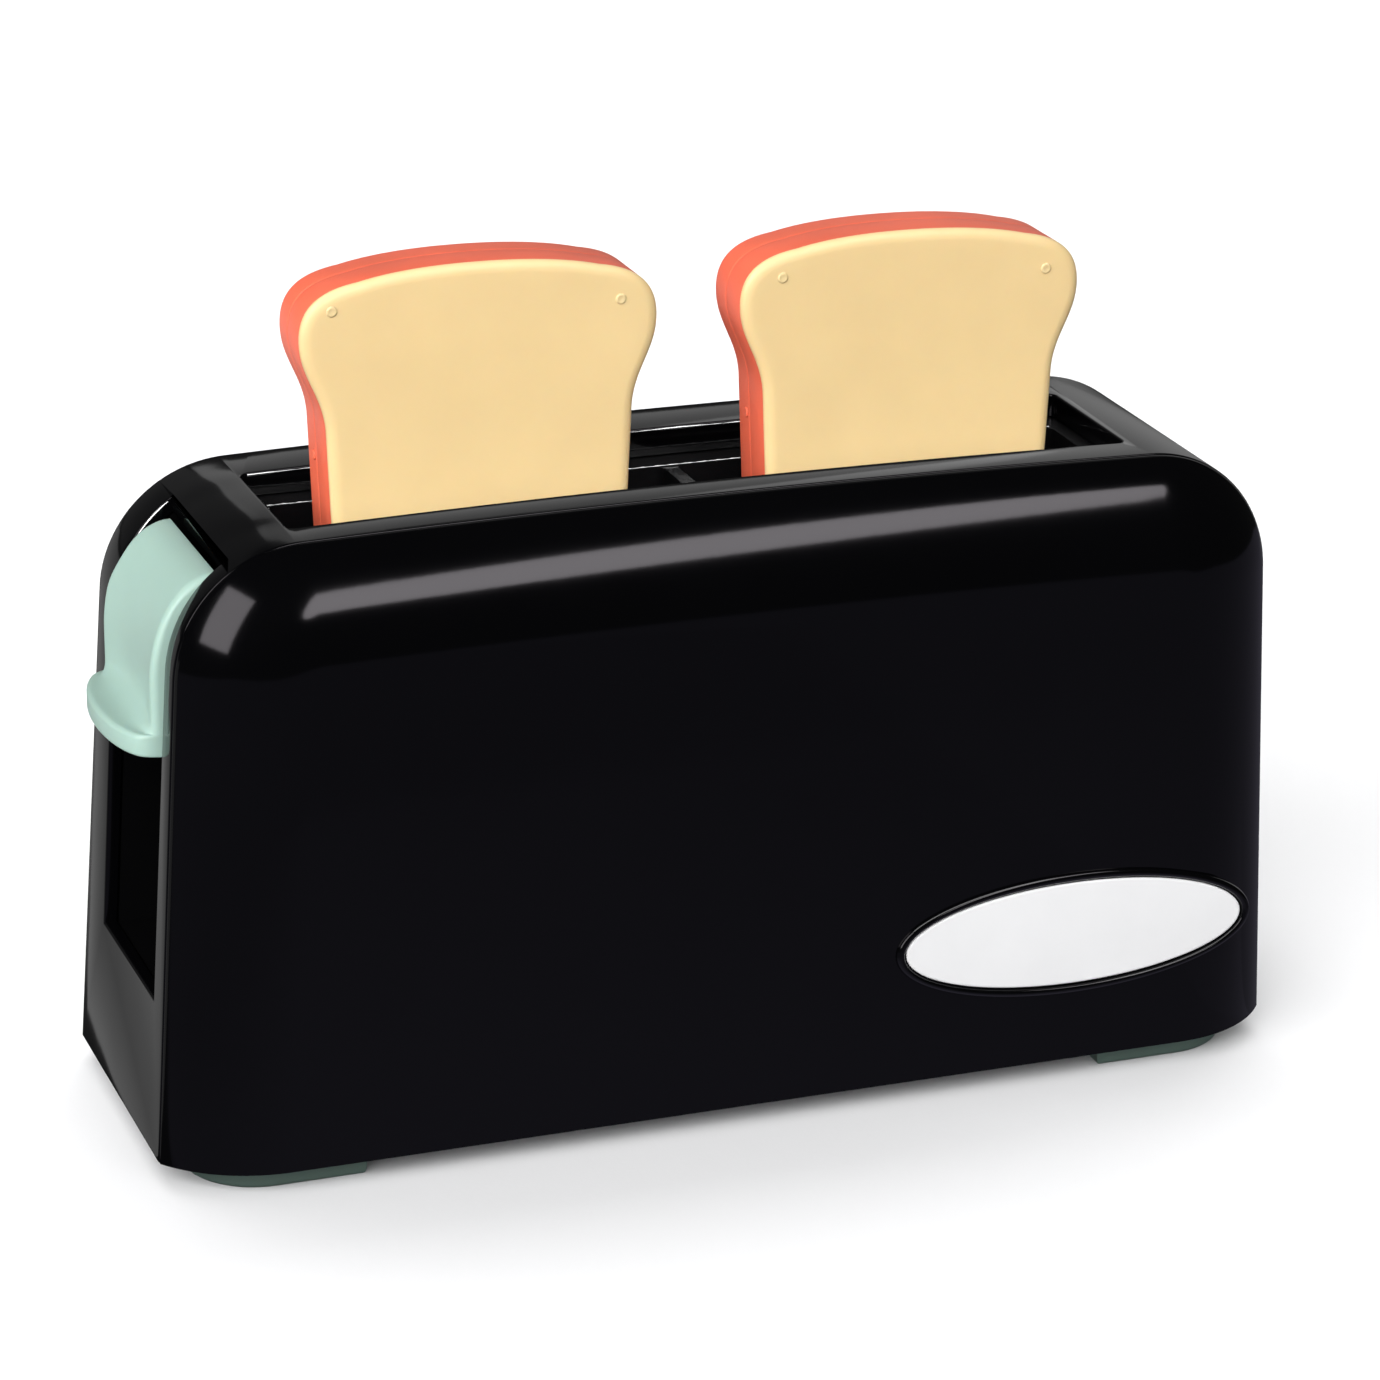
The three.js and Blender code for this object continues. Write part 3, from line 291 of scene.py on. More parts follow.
def finish_piece(obj, material, slot, body, *nodes):
    """Gives a piece its material, its body and the CAD nodes that it replaces; the slot argument is not used.
    """
    obj.data.materials.clear()
    obj.data.materials.append(material)
    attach(obj, body)
    if nodes:
        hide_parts(*nodes)
    return obj


def full_turn(steps):
    return [2 * math.pi * i / steps for i in range(steps)]


def quarter_turn(steps):
    return [math.pi / 2 * i / steps for i in range(steps + 1)]


def arc(cx, cz, radius, start, end, steps):
    angles = [start + (end - start) * i / steps for i in range(steps + 1)]
    return [(cx + radius * math.cos(a), cz + radius * math.sin(a)) for a in angles]


# Hood outline and its borders

def crease_y(side, z):
    """Place of the crease at a height, for side -1 at the front and 1 at the rear."""
    share = (z - HOOD_BOTTOM) / HOOD_HEIGHT
    base, top = (FRONT_BASE, FRONT_TOP) if side < 0 else (REAR_BASE, REAR_TOP)
    return side * (base + (top - base) * share)


def hood_outline(inset, bottom=HOOD_BOTTOM, corner_steps=28, crown_steps=36):
    """Outline in the XZ plane, drawn in by an inset, from the lower left over the top to the lower right."""
    crown_radius = (HALF_TOP ** 2 + CROWN_RISE ** 2) / (2 * CROWN_RISE)
    centre = Vector((0.0, HOOD_TOP - crown_radius))
    ends = []
    for lean in (LEFT_LEAN, RIGHT_LEAN):
        up = Vector((math.sin(lean), math.cos(lean)))
        inward = Vector((math.cos(lean), -math.sin(lean)))
        foot = Vector((-HALF_BASE, HOOD_BOTTOM)) + inward * CORNER_RADIUS
        offset = foot - centre
        along = offset.dot(up)
        reach = crown_radius - CORNER_RADIUS
        climb = -along + math.sqrt(along ** 2 - offset.length_squared + reach ** 2)
        corner = foot + up * climb
        turn = math.atan2(corner.y - centre.y, corner.x - centre.x)
        sill = (bottom - HOOD_BOTTOM) * math.tan(lean) + inset / math.cos(lean) - HALF_BASE
        bend = arc(corner.x, corner.y, CORNER_RADIUS - inset, math.pi - lean, turn, corner_steps)
        ends.append((turn, [(sill, bottom)] + bend))
    (left_turn, left), (right_turn, right) = ends
    crown = arc(centre.x, centre.y, crown_radius - inset, left_turn, math.pi - right_turn, crown_steps)
    return left + crown[1:-1] + [(-x, z) for x, z in reversed(right)]


def surface_z(x):
    """Height of the hood's outer skin above a place along it."""
    outline = hood_outline(0)
    for (x0, z0), (x1, z1) in zip(outline[1:], outline[2:]):
        if x0 <= x <= x1:
            return z0 + (z1 - z0) * (x - x0) / (x1 - x0)
    return HOOD_TOP


def border_sections(thickness, steps):
    """Inset and bulge pairs of a cover's rounded border from the crease to the flat face."""
    radius = BORDER_RADIUS - thickness
    crease = math.acos((BORDER_RADIUS - BULGE) / radius)
    sections = []
    for i in range(steps + 1):
        a = crease * (1 - i / steps)
        sections.append((BORDER - radius * math.sin(a), BULGE - BORDER_RADIUS + radius * math.cos(a)))
    return sections


def cover(name, side):
    """Front or rear pillow cover as a shell with a fine rounded edge at the crease."""
    crease = math.acos((BORDER_RADIUS - BULGE) / BORDER_RADIUS)
    reach = SEAM_ROUND / math.tan(crease / 2)
    lip = arc(reach, SEAM_ROUND, SEAM_ROUND, math.radians(270), math.pi / 2 + crease, LIP_STEPS)
    lip_end = reach * math.cos(crease) + SEAM_STEP
    outer = lip + [s for s in border_sections(0, BORDER_STEPS) if s[0] > lip_end]
    outer.append((BORDER + FACE_LAP, BULGE))
    inner = border_sections(WALL, len(outer) - 2) + [(BORDER + FACE_LAP, BULGE - WALL)]
    rings = []
    for t, d in outer + inner:
        rings.append([(x, crease_y(side, z) + side * (d + SEAM / 2), z) for x, z in hood_outline(t)])
    count = len(rings[0])
    verts = [v for ring in rings for v in ring]
    n = len(outer)
    faces = []
    for i in range(n - 1):
        faces += strip(i * count, (i + 1) * count, count, False)
        faces += strip((n + i) * count, (n + i + 1) * count, count, False)
        for end in (0, count - 1):
            a, b = i * count + end, (i + 1) * count + end
            faces.append((a, b, b + n * count, a + n * count))
    faces += strip(0, n * count, count, False)
    top = (n - 1) * count
    faces.append(tuple(range(top, top + count)))
    faces.append(tuple(range(top + n * count, top + n * count + count)))
    faces.append((top, top + count - 1, top + n * count + count - 1, top + n * count))
    return mesh_object(name, verts, faces)


def rounded_rectangle(half_x, half_y, radius, steps=6):
    points = []
    for turn, (sign_x, sign_y) in enumerate(((1, -1), (1, 1), (-1, 1), (-1, -1))):
        x, y = sign_x * (half_x - radius), sign_y * (half_y - radius)
        points += arc(x, y, radius, math.radians(90 * turn - 90), math.radians(90 * turn), steps)
    return points


def upright(name, outline, z0, z1):
    return loft(name, [[(x, y, z0) for x, y in outline], [(x, y, z1) for x, y in outline]])


def boolean(obj, tool, operation):
    """Joins the tool to an object or cuts it out, and removes the tool."""
    modifier = obj.modifiers.new("cut", "BOOLEAN")
    modifier.object = tool
    modifier.operation = operation
    modifier.solver = "EXACT"
    graph = bpy.context.evaluated_depsgraph_get()
    made = bpy.data.meshes.new_from_object(obj.evaluated_get(graph))
    obj.modifiers.clear()
    obj.data = made
    bpy.data.objects.remove(tool)


def outline_gap(x, z, outline):
    """Distance of a point from an outline."""
    point = Vector((x, z))
    gaps = []
    for (x0, z0), (x1, z1) in zip(outline, outline[1:]):
        start, run = Vector((x0, z0)), Vector((x1 - x0, z1 - z0))
        share = min(1.0, max(0.0, (point - start).dot(run) / run.length_squared))
        gaps.append((point - start - run * share).length)
    return min(gaps)


def round_outer_edges(obj, width, segments, skin=0.02):
    """Rounds the edges that lie in the hood's outer skin: slot, channel, creases and lower rim."""
    outline = hood_outline(0)
    bm = bmesh.new()
    bm.from_mesh(obj.data)
    bmesh.ops.remove_doubles(bm, verts=bm.verts, dist=CUT_GAP)
    bmesh.ops.dissolve_degenerate(bm, dist=SLIVER, edges=bm.edges)
    on_skin = {}
    for v in bm.verts:
        on_skin[v] = outline_gap(v.co.x / MM - OX, v.co.z / MM, outline) < skin
    picked = [
        e for e in bm.edges
        if len(e.link_faces) == 2 and e.calc_face_angle() > math.radians(BEVEL_FROM)
        and on_skin[e.verts[0]] and on_skin[e.verts[1]]
    ]
    bmesh.ops.bevel(
        bm, geom=picked, offset=width * MM, segments=segments, profile=0.5, affect="EDGES",
        clamp_overlap=False, loop_slide=True,
    )
    bmesh.ops.recalc_face_normals(bm, faces=bm.faces)
    bm.to_mesh(obj.data)
    bm.free()
    obj.data.shade_smooth()
    obj.data.set_sharp_from_angle(angle=math.radians(SHARP))


def centre_frame():
    """Band over the top and down both ends, with the skirt round the slot, the slot and the channel."""
    outer = hood_outline(0)
    inner = hood_outline(WALL)
    rings = []
    for side in (-1, 1):
        rings.append([(x, crease_y(side, z) - side * SEAM / 2, z) for x, z in outer + inner[::-1]])
    count = len(rings[0])
    verts = rings[0] + rings[1]
    faces = strip(0, count, count, True)
    for base in (0, count):
        last = base + count - 1
        faces += [(base + i, base + i + 1, last - 1 - i, last - i) for i in range(len(outer) - 1)]
    band = mesh_object("hood_frame", verts, faces)
    skirt = rounded_rectangle(SLOT_HALF_X + SKIRT_WALL, SLOT_HALF_Y + SKIRT_WALL, SLOT_CORNER + SKIRT_WALL)
    boolean(band, upright("tool", skirt, LEDGE_Z, HOOD_TOP - WALL + SKIRT_LAP), "UNION")
    slot = rounded_rectangle(SLOT_HALF_X, SLOT_HALF_Y, SLOT_CORNER)
    boolean(band, upright("tool", slot, LEDGE_Z - OVERCUT, HOOD_TOP + OVERCUT), "DIFFERENCE")
    mouth = -HALF_BASE - OVERCUT
    channel = [(mouth, -CHANNEL_HALF), (CHANNEL_HEAD, -CHANNEL_HALF)]
    channel += [(CHANNEL_HEAD, CHANNEL_HALF), (mouth, CHANNEL_HALF)]
    boolean(band, upright("tool", channel, CHANNEL_SILL, HOOD_TOP + OVERCUT), "DIFFERENCE")
    round_outer_edges(band, FRAME_ROUND, FRAME_ROUND_STEPS)
    return band


# Beads that carry the glints of the edges

def bead(name, path):
    """A thin rounded edge that runs along x through points with a radius each."""
    rings = []
    for x, y, z, radius in path:
        rings.append([(x, y + radius * math.cos(a), z + radius * math.sin(a)) for a in full_turn(BEAD_SIDES)])
    return loft(name, rings, sharp=80)


def wavy(x, radius, *waves):
    """Radius of a bead at a place along it."""
    for height, rate in waves:
        radius += height * math.sin(x * rate)
    return radius


def slot_bead():
    """Along the slot's rear edge."""
    span = SLOT_HALF_X - SLOT_CORNER
    path = []
    for i in range(2 * SLOT_BEAD_STEPS + 1):
        x = span * (i / SLOT_BEAD_STEPS - 1)
        path.append((x, SLOT_HALF_Y, surface_z(x) - SLOT_BEAD_DROP, wavy(x, *SLOT_BEAD)))
    return bead("slot_edge", path)


def ledge_bead():
    """Along the ledge's inner edge behind the pockets."""
    path = []
    for i in range(round(2 * LEDGE_BEAD_HALF / LEDGE_BEAD_STEP) + 1):
        x = -LEDGE_BEAD_HALF + LEDGE_BEAD_STEP * i
        path.append((x, LEDGE_BEAD_Y, LEDGE_Z - LEDGE_BEAD_DROP, wavy(x, *LEDGE_BEAD)))
    return bead("ledge_edge", path)


def channel_bead():
    """Round the bend of the channel's rear edge, thinner towards both ends."""
    low, head = HOOD_TOP - CHANNEL_BEAD_DROP, CHANNEL_HEAD - CHANNEL_BEAD_GAP
    bend = [(x, z) for x, z in hood_outline(CHANNEL_BEAD_INSET) if x < head and z > low]
    last = len(bend) - 1
    path = []
    for i, (x, z) in enumerate(bend):
        share = CHANNEL_BEAD_FIRST + CHANNEL_BEAD_SPAN * i / last
        radius = CHANNEL_BEAD_RADIUS + CHANNEL_BEAD_SWELL * math.sin(math.pi * share)
        path.append((x, CHANNEL_HALF + CHANNEL_BEAD_BACK, z, radius))
    return bead("channel_edge", path)


# Badge

def oval_rings(section):
    """Rings of the badge's oval from growth and height pairs, measured out of the front face."""
    rings = []
    for growth, height in section:
        a, b = BADGE_A + growth, BADGE_B + growth
        oval = [(BADGE_X + a * math.cos(t), BADGE_Z + b * math.sin(t)) for t in full_turn(BADGE_STEPS)]
        rings.append([(x, crease_y(-1, z) - BULGE - SEAM / 2 - height, z) for x, z in oval])
    return rings


def badge_rim():
    rings = oval_rings(RIM_SECTION)
    count = len(rings[0])
    verts = [v for ring in rings for v in ring]
    faces = []
    for i in range(len(rings)):
        faces += strip(i * count, ((i + 1) % len(rings)) * count, count, True)
    return mesh_object("badge_rim", verts, faces)


def badge_plate():
    return loft("badge_face", oval_rings(PLATE_SECTION))


# Feet

def foot(name, side):
    """Bar under an end of the hood, with its two outer corners rounded."""
    corner_x = FOOT_OUTER - FOOT_CORNER
    rings = []
    for inset, z in FOOT_SECTION:
        radius = FOOT_CORNER - inset
        points = [(FOOT_INNER + inset, FOOT_FRONT + inset)]
        points += arc(corner_x, FOOT_FRONT + FOOT_CORNER, radius, -math.pi / 2, 0, FOOT_STEPS)
        points += arc(corner_x, FOOT_REAR - FOOT_CORNER, radius, 0, math.pi / 2, FOOT_STEPS)
        points.append((FOOT_INNER + inset, FOOT_REAR - inset))
        rings.append([(side * x, y, z) for x, y in points])
    return loft(name, rings)


# Lever

END_X = -HALF_BASE + (LEVER_BOTTOM - HOOD_BOTTOM) * math.tan(LEFT_LEAN)
RIM_X = END_X - LEVER_PROUD
KNEE_X = RIM_X + RIM_REACH
LEVER_TOP = surface_z(KNEE_X) - LEVER_TOP_DROP
KNEE_Z = LEVER_TOP - RIM_RISE
SHELF_TOP = LEVER_BOTTOM + SHELF_HEIGHT


def lever_profile(u, edge, flanged):
    """Side profile at a station across the lever, from the top over the bend, the scoop and the thumb
    shelf to the sole and back up inside; u runs from -1 at the front edge to 1 at the rear."""
    bow = math.sqrt(max(0.0, 1 - u * u))
    dish = DISH * (1 - u * u) + edge
    points = []
    for i, a in enumerate(quarter_turn(BEND_STEPS)):
        reach = RIM_REACH - dish * math.sin(a)
        drop = edge * (1 - i / BEND_STEPS)
        turn = math.pi / 2 + a
        points.append((KNEE_X + reach * math.cos(turn), KNEE_Z + (RIM_RISE - drop) * math.sin(turn)))
    pad_x = RIM_X + dish
    scoop_top = SHELF_TOP + SCOOP_RISE * (SCOOP_EDGE_SHARE + (1 - SCOOP_EDGE_SHARE) * bow)
    scoop_rise = scoop_top - SHELF_TOP
    lip_x = RIM_X + edge - SHELF_REACH * bow
    scoop_x = min(lip_x + SHELF_LIP, pad_x - SCOOP_LEAST)
    points.append((pad_x, scoop_top + SCOOP_START))
    for a in quarter_turn(SCOOP_STEPS)[1:]:
        points.append((pad_x - (pad_x - scoop_x) * (1 - math.cos(a)), scoop_top - scoop_rise * math.sin(a)))
    for a in quarter_turn(SHELF_STEPS):
        x = lip_x + SHELF_ROUND - SHELF_ROUND * math.sin(a)
        points.append((x, SHELF_TOP - SHELF_ROUND + SHELF_ROUND * math.cos(a)))
    for a in quarter_turn(SOLE_STEPS):
        x = lip_x + SOLE_ROUND - SOLE_ROUND * math.cos(a)
        points.append((x, LEVER_BOTTOM + SOLE_ROUND - SOLE_ROUND * math.sin(a)))
    inner = RIM_X + FLANGE_DEPTH if flanged else RIM_X + DISH + LEVER_GAUGE
    points.append((inner, LEVER_BOTTOM))
    for a in quarter_turn(INSIDE_STEPS):
        x = KNEE_X + (RIM_REACH - DISH - LEVER_GAUGE) * math.cos(math.pi - a)
        points.append((max(x, inner), KNEE_Z + (RIM_RISE - LEVER_GAUGE) * math.sin(math.pi - a)))
    return points


def draw_lever(y, z):
    """Place across the lever after its rear edge is drawn in a little over the upper bend."""
    rise = min(1.0, max(0.0, ((z - KNEE_Z) / RIM_RISE - TAPER_START) / TAPER_RUN))
    return y - LEVER_TAPER * rise * rise * (3 - 2 * rise) * (0.5 + y / LEVER_HALF / 2) ** TAPER_POWER


def lever_stations():
    """Places across the lever, each with the inset that rounds its side edges."""
    side = []
    for a in quarter_turn(SIDE_STEPS):
        side.append((-LEVER_HALF + LEVER_EDGE * (1 - math.cos(a)), LEVER_EDGE * (1 - math.sin(a))))
    span = LEVER_HALF - LEVER_EDGE
    middle = [(-span + 2 * span * i / LEVER_STATIONS, 0.0) for i in range(1, LEVER_STATIONS)]
    return side + middle + [(-y, edge) for y, edge in reversed(side)]


def lever():
    """Curved shell with a flange down each side, lofted across its width."""
    rings = []

    def add_ring(y, edge, flanged):
        profile = lever_profile(y / LEVER_HALF, edge, flanged)
        rings.append([(x, draw_lever(y, z), z) for x, z in profile])

    inside = LEVER_HALF - FLANGE
    before = True
    for y, edge in lever_stations():
        flanged = abs(y) > inside
        if flanged != before:
            mark = math.copysign(inside, y)
            first, second = (mark, mark + FLANGE_STEP) if y < 0 else (mark - FLANGE_STEP, mark)
            add_ring(first, 0.0, before)
            add_ring(second, 0.0, flanged)
        add_ring(y, edge, flanged)
        before = flanged
    return loft("lever_shell", rings, sharp=40)


# Play slices

def bezier(p0, p1, p2, p3, steps):
    """Points of a cubic curve after its first one."""
    points = []
    for i in range(1, steps + 1):
        t = i / steps
        s = 1 - t
        shares = (s ** 3, 3 * s * s * t, 3 * s * t * t, t ** 3)
        points.append(tuple(sum(w * v for w, v in zip(shares, values)) for values in zip(p0, p1, p2, p3)))
    return points


def quadratic(p0, p1, p2, steps):
    """Points of a curve pulled towards p1, after its first one."""
    first, second = (tuple(x + (y - x) * 2 / 3 for x, y in zip(end, p1)) for end in (p0, p2))
    return bezier(p0, first, second, p2, steps)


def bread_outline(height, fall):
    """From the bottom middle over the corner, waist, swell and shoulder to the top and back, a little
    lower at the right shoulder."""

    def at(share):
        return share[0] * BREAD_HALF, TOAST_BOTTOM + share[1] * height

    foot_x = FOOT_SHARE * BREAD_HALF
    low = (foot_x - BREAD_CORNER, TOAST_BOTTOM)
    side = (foot_x, TOAST_BOTTOM + BREAD_CORNER)
    half = [low]
    half += quadratic(low, (foot_x, TOAST_BOTTOM), side, 8)
    half += [tuple(a + (b - a) * i / 8 for a, b in zip(side, at(WAIST))) for i in range(1, 9)]
    half += bezier(at(WAIST), at(WAIST_PULL), at(SWELL_PULL), at(WIDEST), 16)
    half += bezier(at(WIDEST), at(CHEEK_PULL), at(SHOULDER_PULL), at(SHOULDER), 18)
    half += quadratic(at(SHOULDER), at(TOP_PULL), at(TOP), 12)
    loop = half + [(-x, z) for x, z in reversed(half[:-1])]
    slope = math.tan(math.radians(fall))
    return [(x, z - slope * x * (z - TOAST_BOTTOM) / height) for x, z in loop]


def draw_in(loop, inset):
    """A closed outline moved inwards."""
    made = []
    for i, (x, z) in enumerate(loop):
        x0, z0 = loop[i - 1]
        x1, z1 = loop[(i + 1) % len(loop)]
        d = Vector((x1 - x0, z1 - z0)).normalized()
        made.append((x - d.y * inset, z + d.x * inset))
    return made


def slice_piece(name, side, levels):
    """Solid of a slice's outline through levels of an inset and a depth each."""
    centre = TOAST_X[side]
    loop = bread_outline(*BREAD[side])
    return loft(name, [[(centre + x, y, z) for x, z in draw_in(loop, inset)] for inset, y in levels])


def edge_round(radius, y, depth, steps):
    """Levels of a rounded edge that starts at the flat face's depth."""
    return [(radius * (1 - math.sin(a)), y + depth * (1 - math.cos(a))) for a in quarter_turn(steps)]


def add_mark(obj, origin, sideways=False):
    """A small flat-topped dot on the front of a plate or, sideways, the mark of a gate on a crust's left."""
    rings = []
    for radius, rise in MARK_SECTION:
        if sideways:
            offsets = [(-rise, radius * math.cos(a), radius * math.sin(a)) for a in full_turn(MARK_SIDES)]
        else:
            offsets = [(radius * math.cos(a), -rise, radius * math.sin(a)) for a in full_turn(MARK_SIDES)]
        rings.append([origin + Vector(offset) for offset in offsets])
    mark = loft("mark", rings)
    bm = bmesh.new()
    bm.from_mesh(obj.data)
    bm.from_mesh(mark.data)
    bm.to_mesh(obj.data)
    bm.free()
    bpy.data.objects.remove(mark)


def gate_x(side):
    """Left edge of a slice at the height of its gate mark."""
    outline = bread_outline(*BREAD[side])
    return min(x for x, z in outline if abs(z - TOAST_BOTTOM - GATE_RISE) < GATE_BAND)


def crust(side):
    """Body of a slice with a fine parting groove round its middle."""
    front = FACE_Y + FACE_THICK + CRUST_START
    rear = FACE_Y + FACE_THICK + CRUST_SEAT + CRUST_THICK
    middle = (front + rear) / 2
    levels = [(inset, front + depth) for inset, depth in CRUST_FRONT_EDGE]
    levels += [(inset, middle - away) for inset, away in GROOVE]
    levels += [(inset, middle + away) for inset, away in reversed(GROOVE)]
    levels += reversed(edge_round(CRUST_ROUND, rear, -CRUST_ROUND, 8))
    levels.append((CRUST_BACK_INSET, rear))
    made = slice_piece(side + "_crust", side, levels)
    origin = Vector((TOAST_X[side] + gate_x(side), GATE_Y, TOAST_BOTTOM + GATE_RISE))
    add_mark(made, origin, sideways=True)
    return finish_piece(made, CORAL, "coral", side + "_toast", side + "_toast_crust")


def bread_face(side):
    """Rounded face plate of a slice with its two dots."""
    levels = [(FACE_INSET, FACE_Y)]
    levels += edge_round(FACE_ROUND, FACE_Y, FACE_ROUND_DEPTH, 12)
    levels.append((0.0, FACE_Y + FACE_THICK))
    made = slice_piece(side + "_bread", side, levels)
    for x, z in DOTS[side]:
        add_mark(made, Vector((TOAST_X[side] + x, FACE_Y, TOAST_BOTTOM + z)))
    return finish_piece(made, CREAM, "cream", side + "_toast", side + "_toast_face")


# Return spring under the lever arm
spring_lo, spring_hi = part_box("lever_return_spring")


def return_spring():
    """Round wire in one coil, its end turns drawn close together."""
    low = spring_lo[2] / MM + SPRING_WIRE / 2
    high = spring_hi[2] / MM - SPRING_WIRE / 2
    closed = SPRING_END_TURNS * SPRING_END_PITCH
    pitch = (high - low - 2 * closed) / (SPRING_TURNS - 2 * SPRING_END_TURNS)
    rings = []
    for i in range(SPRING_TURNS * SPRING_STEPS + 1):
        turn = i / SPRING_STEPS
        if turn < SPRING_END_TURNS:
            z = low + turn * SPRING_END_PITCH
        elif turn > SPRING_TURNS - SPRING_END_TURNS:
            z = high - (SPRING_TURNS - turn) * SPRING_END_PITCH
        else:
            z = low + closed + (turn - SPRING_END_TURNS) * pitch
        a = 2 * math.pi * turn
        ring = []
        for b in full_turn(WIRE_SIDES):
            reach = SPRING_RADIUS + SPRING_WIRE / 2 * math.cos(b)
            x, y = SPRING_X + reach * math.cos(a), reach * math.sin(a)
            ring.append((x, y, z + SPRING_WIRE / 2 * math.sin(b)))
        rings.append(ring)
    return loft("return_spring", rings, sharp=60)


# Materials

def noise(tree, coords, scale, detail):
    node = tree.nodes.new("ShaderNodeTexNoise")
    node.inputs["Scale"].default_value = scale
    node.inputs["Detail"].default_value = detail
    tree.links.new(coords, node.inputs["Vector"])
    return node.outputs["Fac"]


def map_range(tree, value, from_range, to_range):
    node = tree.nodes.new("ShaderNodeMapRange")
    node.inputs["From Min"].default_value, node.inputs["From Max"].default_value = from_range
    node.inputs["To Min"].default_value, node.inputs["To Max"].default_value = to_range
    tree.links.new(value, node.inputs["Value"])
    return node.outputs["Result"]


def product(tree, first, second):
    node = tree.nodes.new("ShaderNodeMath")
    node.operation = "MULTIPLY"
    tree.links.new(first, node.inputs[0])
    tree.links.new(second, node.inputs[1])
    return node.outputs["Value"]


def bump_node(tree, height, distance):
    node = tree.nodes.new("ShaderNodeBump")
    node.inputs["Strength"].default_value = 1.0
    node.inputs["Distance"].default_value = distance * MM
    tree.links.new(height, node.inputs["Height"])
    return node


def ripples(tree, coords, distance):
    """Broad shallow waves in the gloss, which fade away from the hood's top left corner."""
    places = tree.nodes.new("ShaderNodeSeparateXYZ")
    tree.links.new(coords, places.inputs["Vector"])
    along = map_range(tree, places.outputs["X"], RIPPLE_X, (RIPPLE_LEAST_X, 1.0))
    above = map_range(tree, places.outputs["Z"], RIPPLE_Z, (RIPPLE_LEAST_Z, 1.0))
    waves = noise(tree, coords, RIPPLE_RATE, RIPPLE_DETAIL)
    return bump_node(tree, product(tree, waves, product(tree, along, above)), distance)


def plastic(
    name, color, roughness, specular=0.5, bump=0.004, grain=900.0, mottle=0.06, patch=60.0, subsurface=0.0,
    metallic=0.0, ripple=0.0,
):
    """Moulded plastic: base colour with a faint mottle, roughness that varies with it, and a fine orange-peel
    bump; bump and ripple are depths in millimetres."""
    material = bpy.data.materials.new(name)
    material.use_nodes = True
    tree = material.node_tree
    shader = tree.nodes["Principled BSDF"]
    coords = tree.nodes.new("ShaderNodeTexCoord").outputs["Object"]
    clouds = noise(tree, coords, patch, 4)
    ramp = tree.nodes.new("ShaderNodeValToRGB")
    dark, pale = ramp.color_ramp.elements
    dark.position, pale.position = MOTTLE_RANGE
    dark.color = [c * (1 - mottle) for c in color] + [1]
    pale.color = [min(1, c * (1 + mottle)) for c in color] + [1]
    tree.links.new(clouds, ramp.inputs["Fac"])
    tree.links.new(ramp.outputs["Color"], shader.inputs["Base Color"])
    rough_range = (roughness * (1 - ROUGHNESS_SPREAD), roughness * (1 + ROUGHNESS_SPREAD))
    tree.links.new(map_range(tree, clouds, (0.0, 1.0), rough_range), shader.inputs["Roughness"])
    relief = bump_node(tree, noise(tree, coords, grain, 2), bump)
    if ripple:
        tree.links.new(ripples(tree, coords, ripple).outputs["Normal"], relief.inputs["Normal"])
    tree.links.new(relief.outputs["Normal"], shader.inputs["Normal"])
    shader.inputs["Specular IOR Level"].default_value = specular
    shader.inputs["Metallic"].default_value = metallic
    if subsurface:
        shader.inputs["Subsurface Weight"].default_value = subsurface
        shader.inputs["Subsurface Radius"].default_value = SUBSURFACE_RADIUS
        shader.inputs["Subsurface Scale"].default_value = SUBSURFACE_SCALE
    return material


BLACK = (0.001, 0.001, 0.0013)
GLOSS = plastic("gloss_black", BLACK, 0.1, specular=0.42, bump=0.004, grain=350.0, ripple=0.008)
FRAME = plastic("frame_black", BLACK, 0.1, specular=0.42, bump=0.004, grain=350.0, ripple=1.0)
EDGE = plastic("edge_black", (0.002, 0.002, 0.002), 0.3, specular=0.6, bump=0.03, grain=500.0)
GUIDE = plastic("guide_black", (0.004, 0.004, 0.0045), 0.24, specular=0.45, bump=0.09, grain=600.0)
WELL = plastic("well_black", (0.002, 0.002, 0.0022), 0.45, specular=0.12, bump=0.01, grain=1500.0)
SATIN = plastic("satin_black", (0.012, 0.012, 0.013), 0.32, specular=0.4, bump=0.01, grain=1500.0)
MINT = plastic("mint", (0.295, 0.425, 0.372), 0.34, bump=0.01, grain=1400.0, mottle=0.03, subsurface=0.1)
CORAL = plastic("coral", (0.74, 0.13, 0.068), 0.5, specular=0.4, bump=0.02, mottle=0.08, subsurface=0.15)
CREAM = plastic("cream", (0.9, 0.66, 0.33), 0.38, bump=0.015, grain=1100.0, mottle=0.03, subsurface=0.15)
PLATE = plastic("pale_grey", (0.9, 0.9, 0.91), 0.4, bump=0.01, grain=1600.0, mottle=0.02)
IVORY = plastic("ivory", (0.75, 0.72, 0.62), 0.45, bump=0.01, grain=1500.0)
STEEL = plastic("steel", (0.6, 0.61, 0.63), 0.3, grain=2500.0, metallic=1.0)
WIRE = plastic("spring_steel", (0.5, 0.51, 0.53), 0.25, grain=2500.0, metallic=1.0)
PAPER = plastic("floor_paper", (0.82, 0.82, 0.828), 0.9, specular=0.1, bump=0.02, mottle=0.01, patch=3.0)

# Pieces

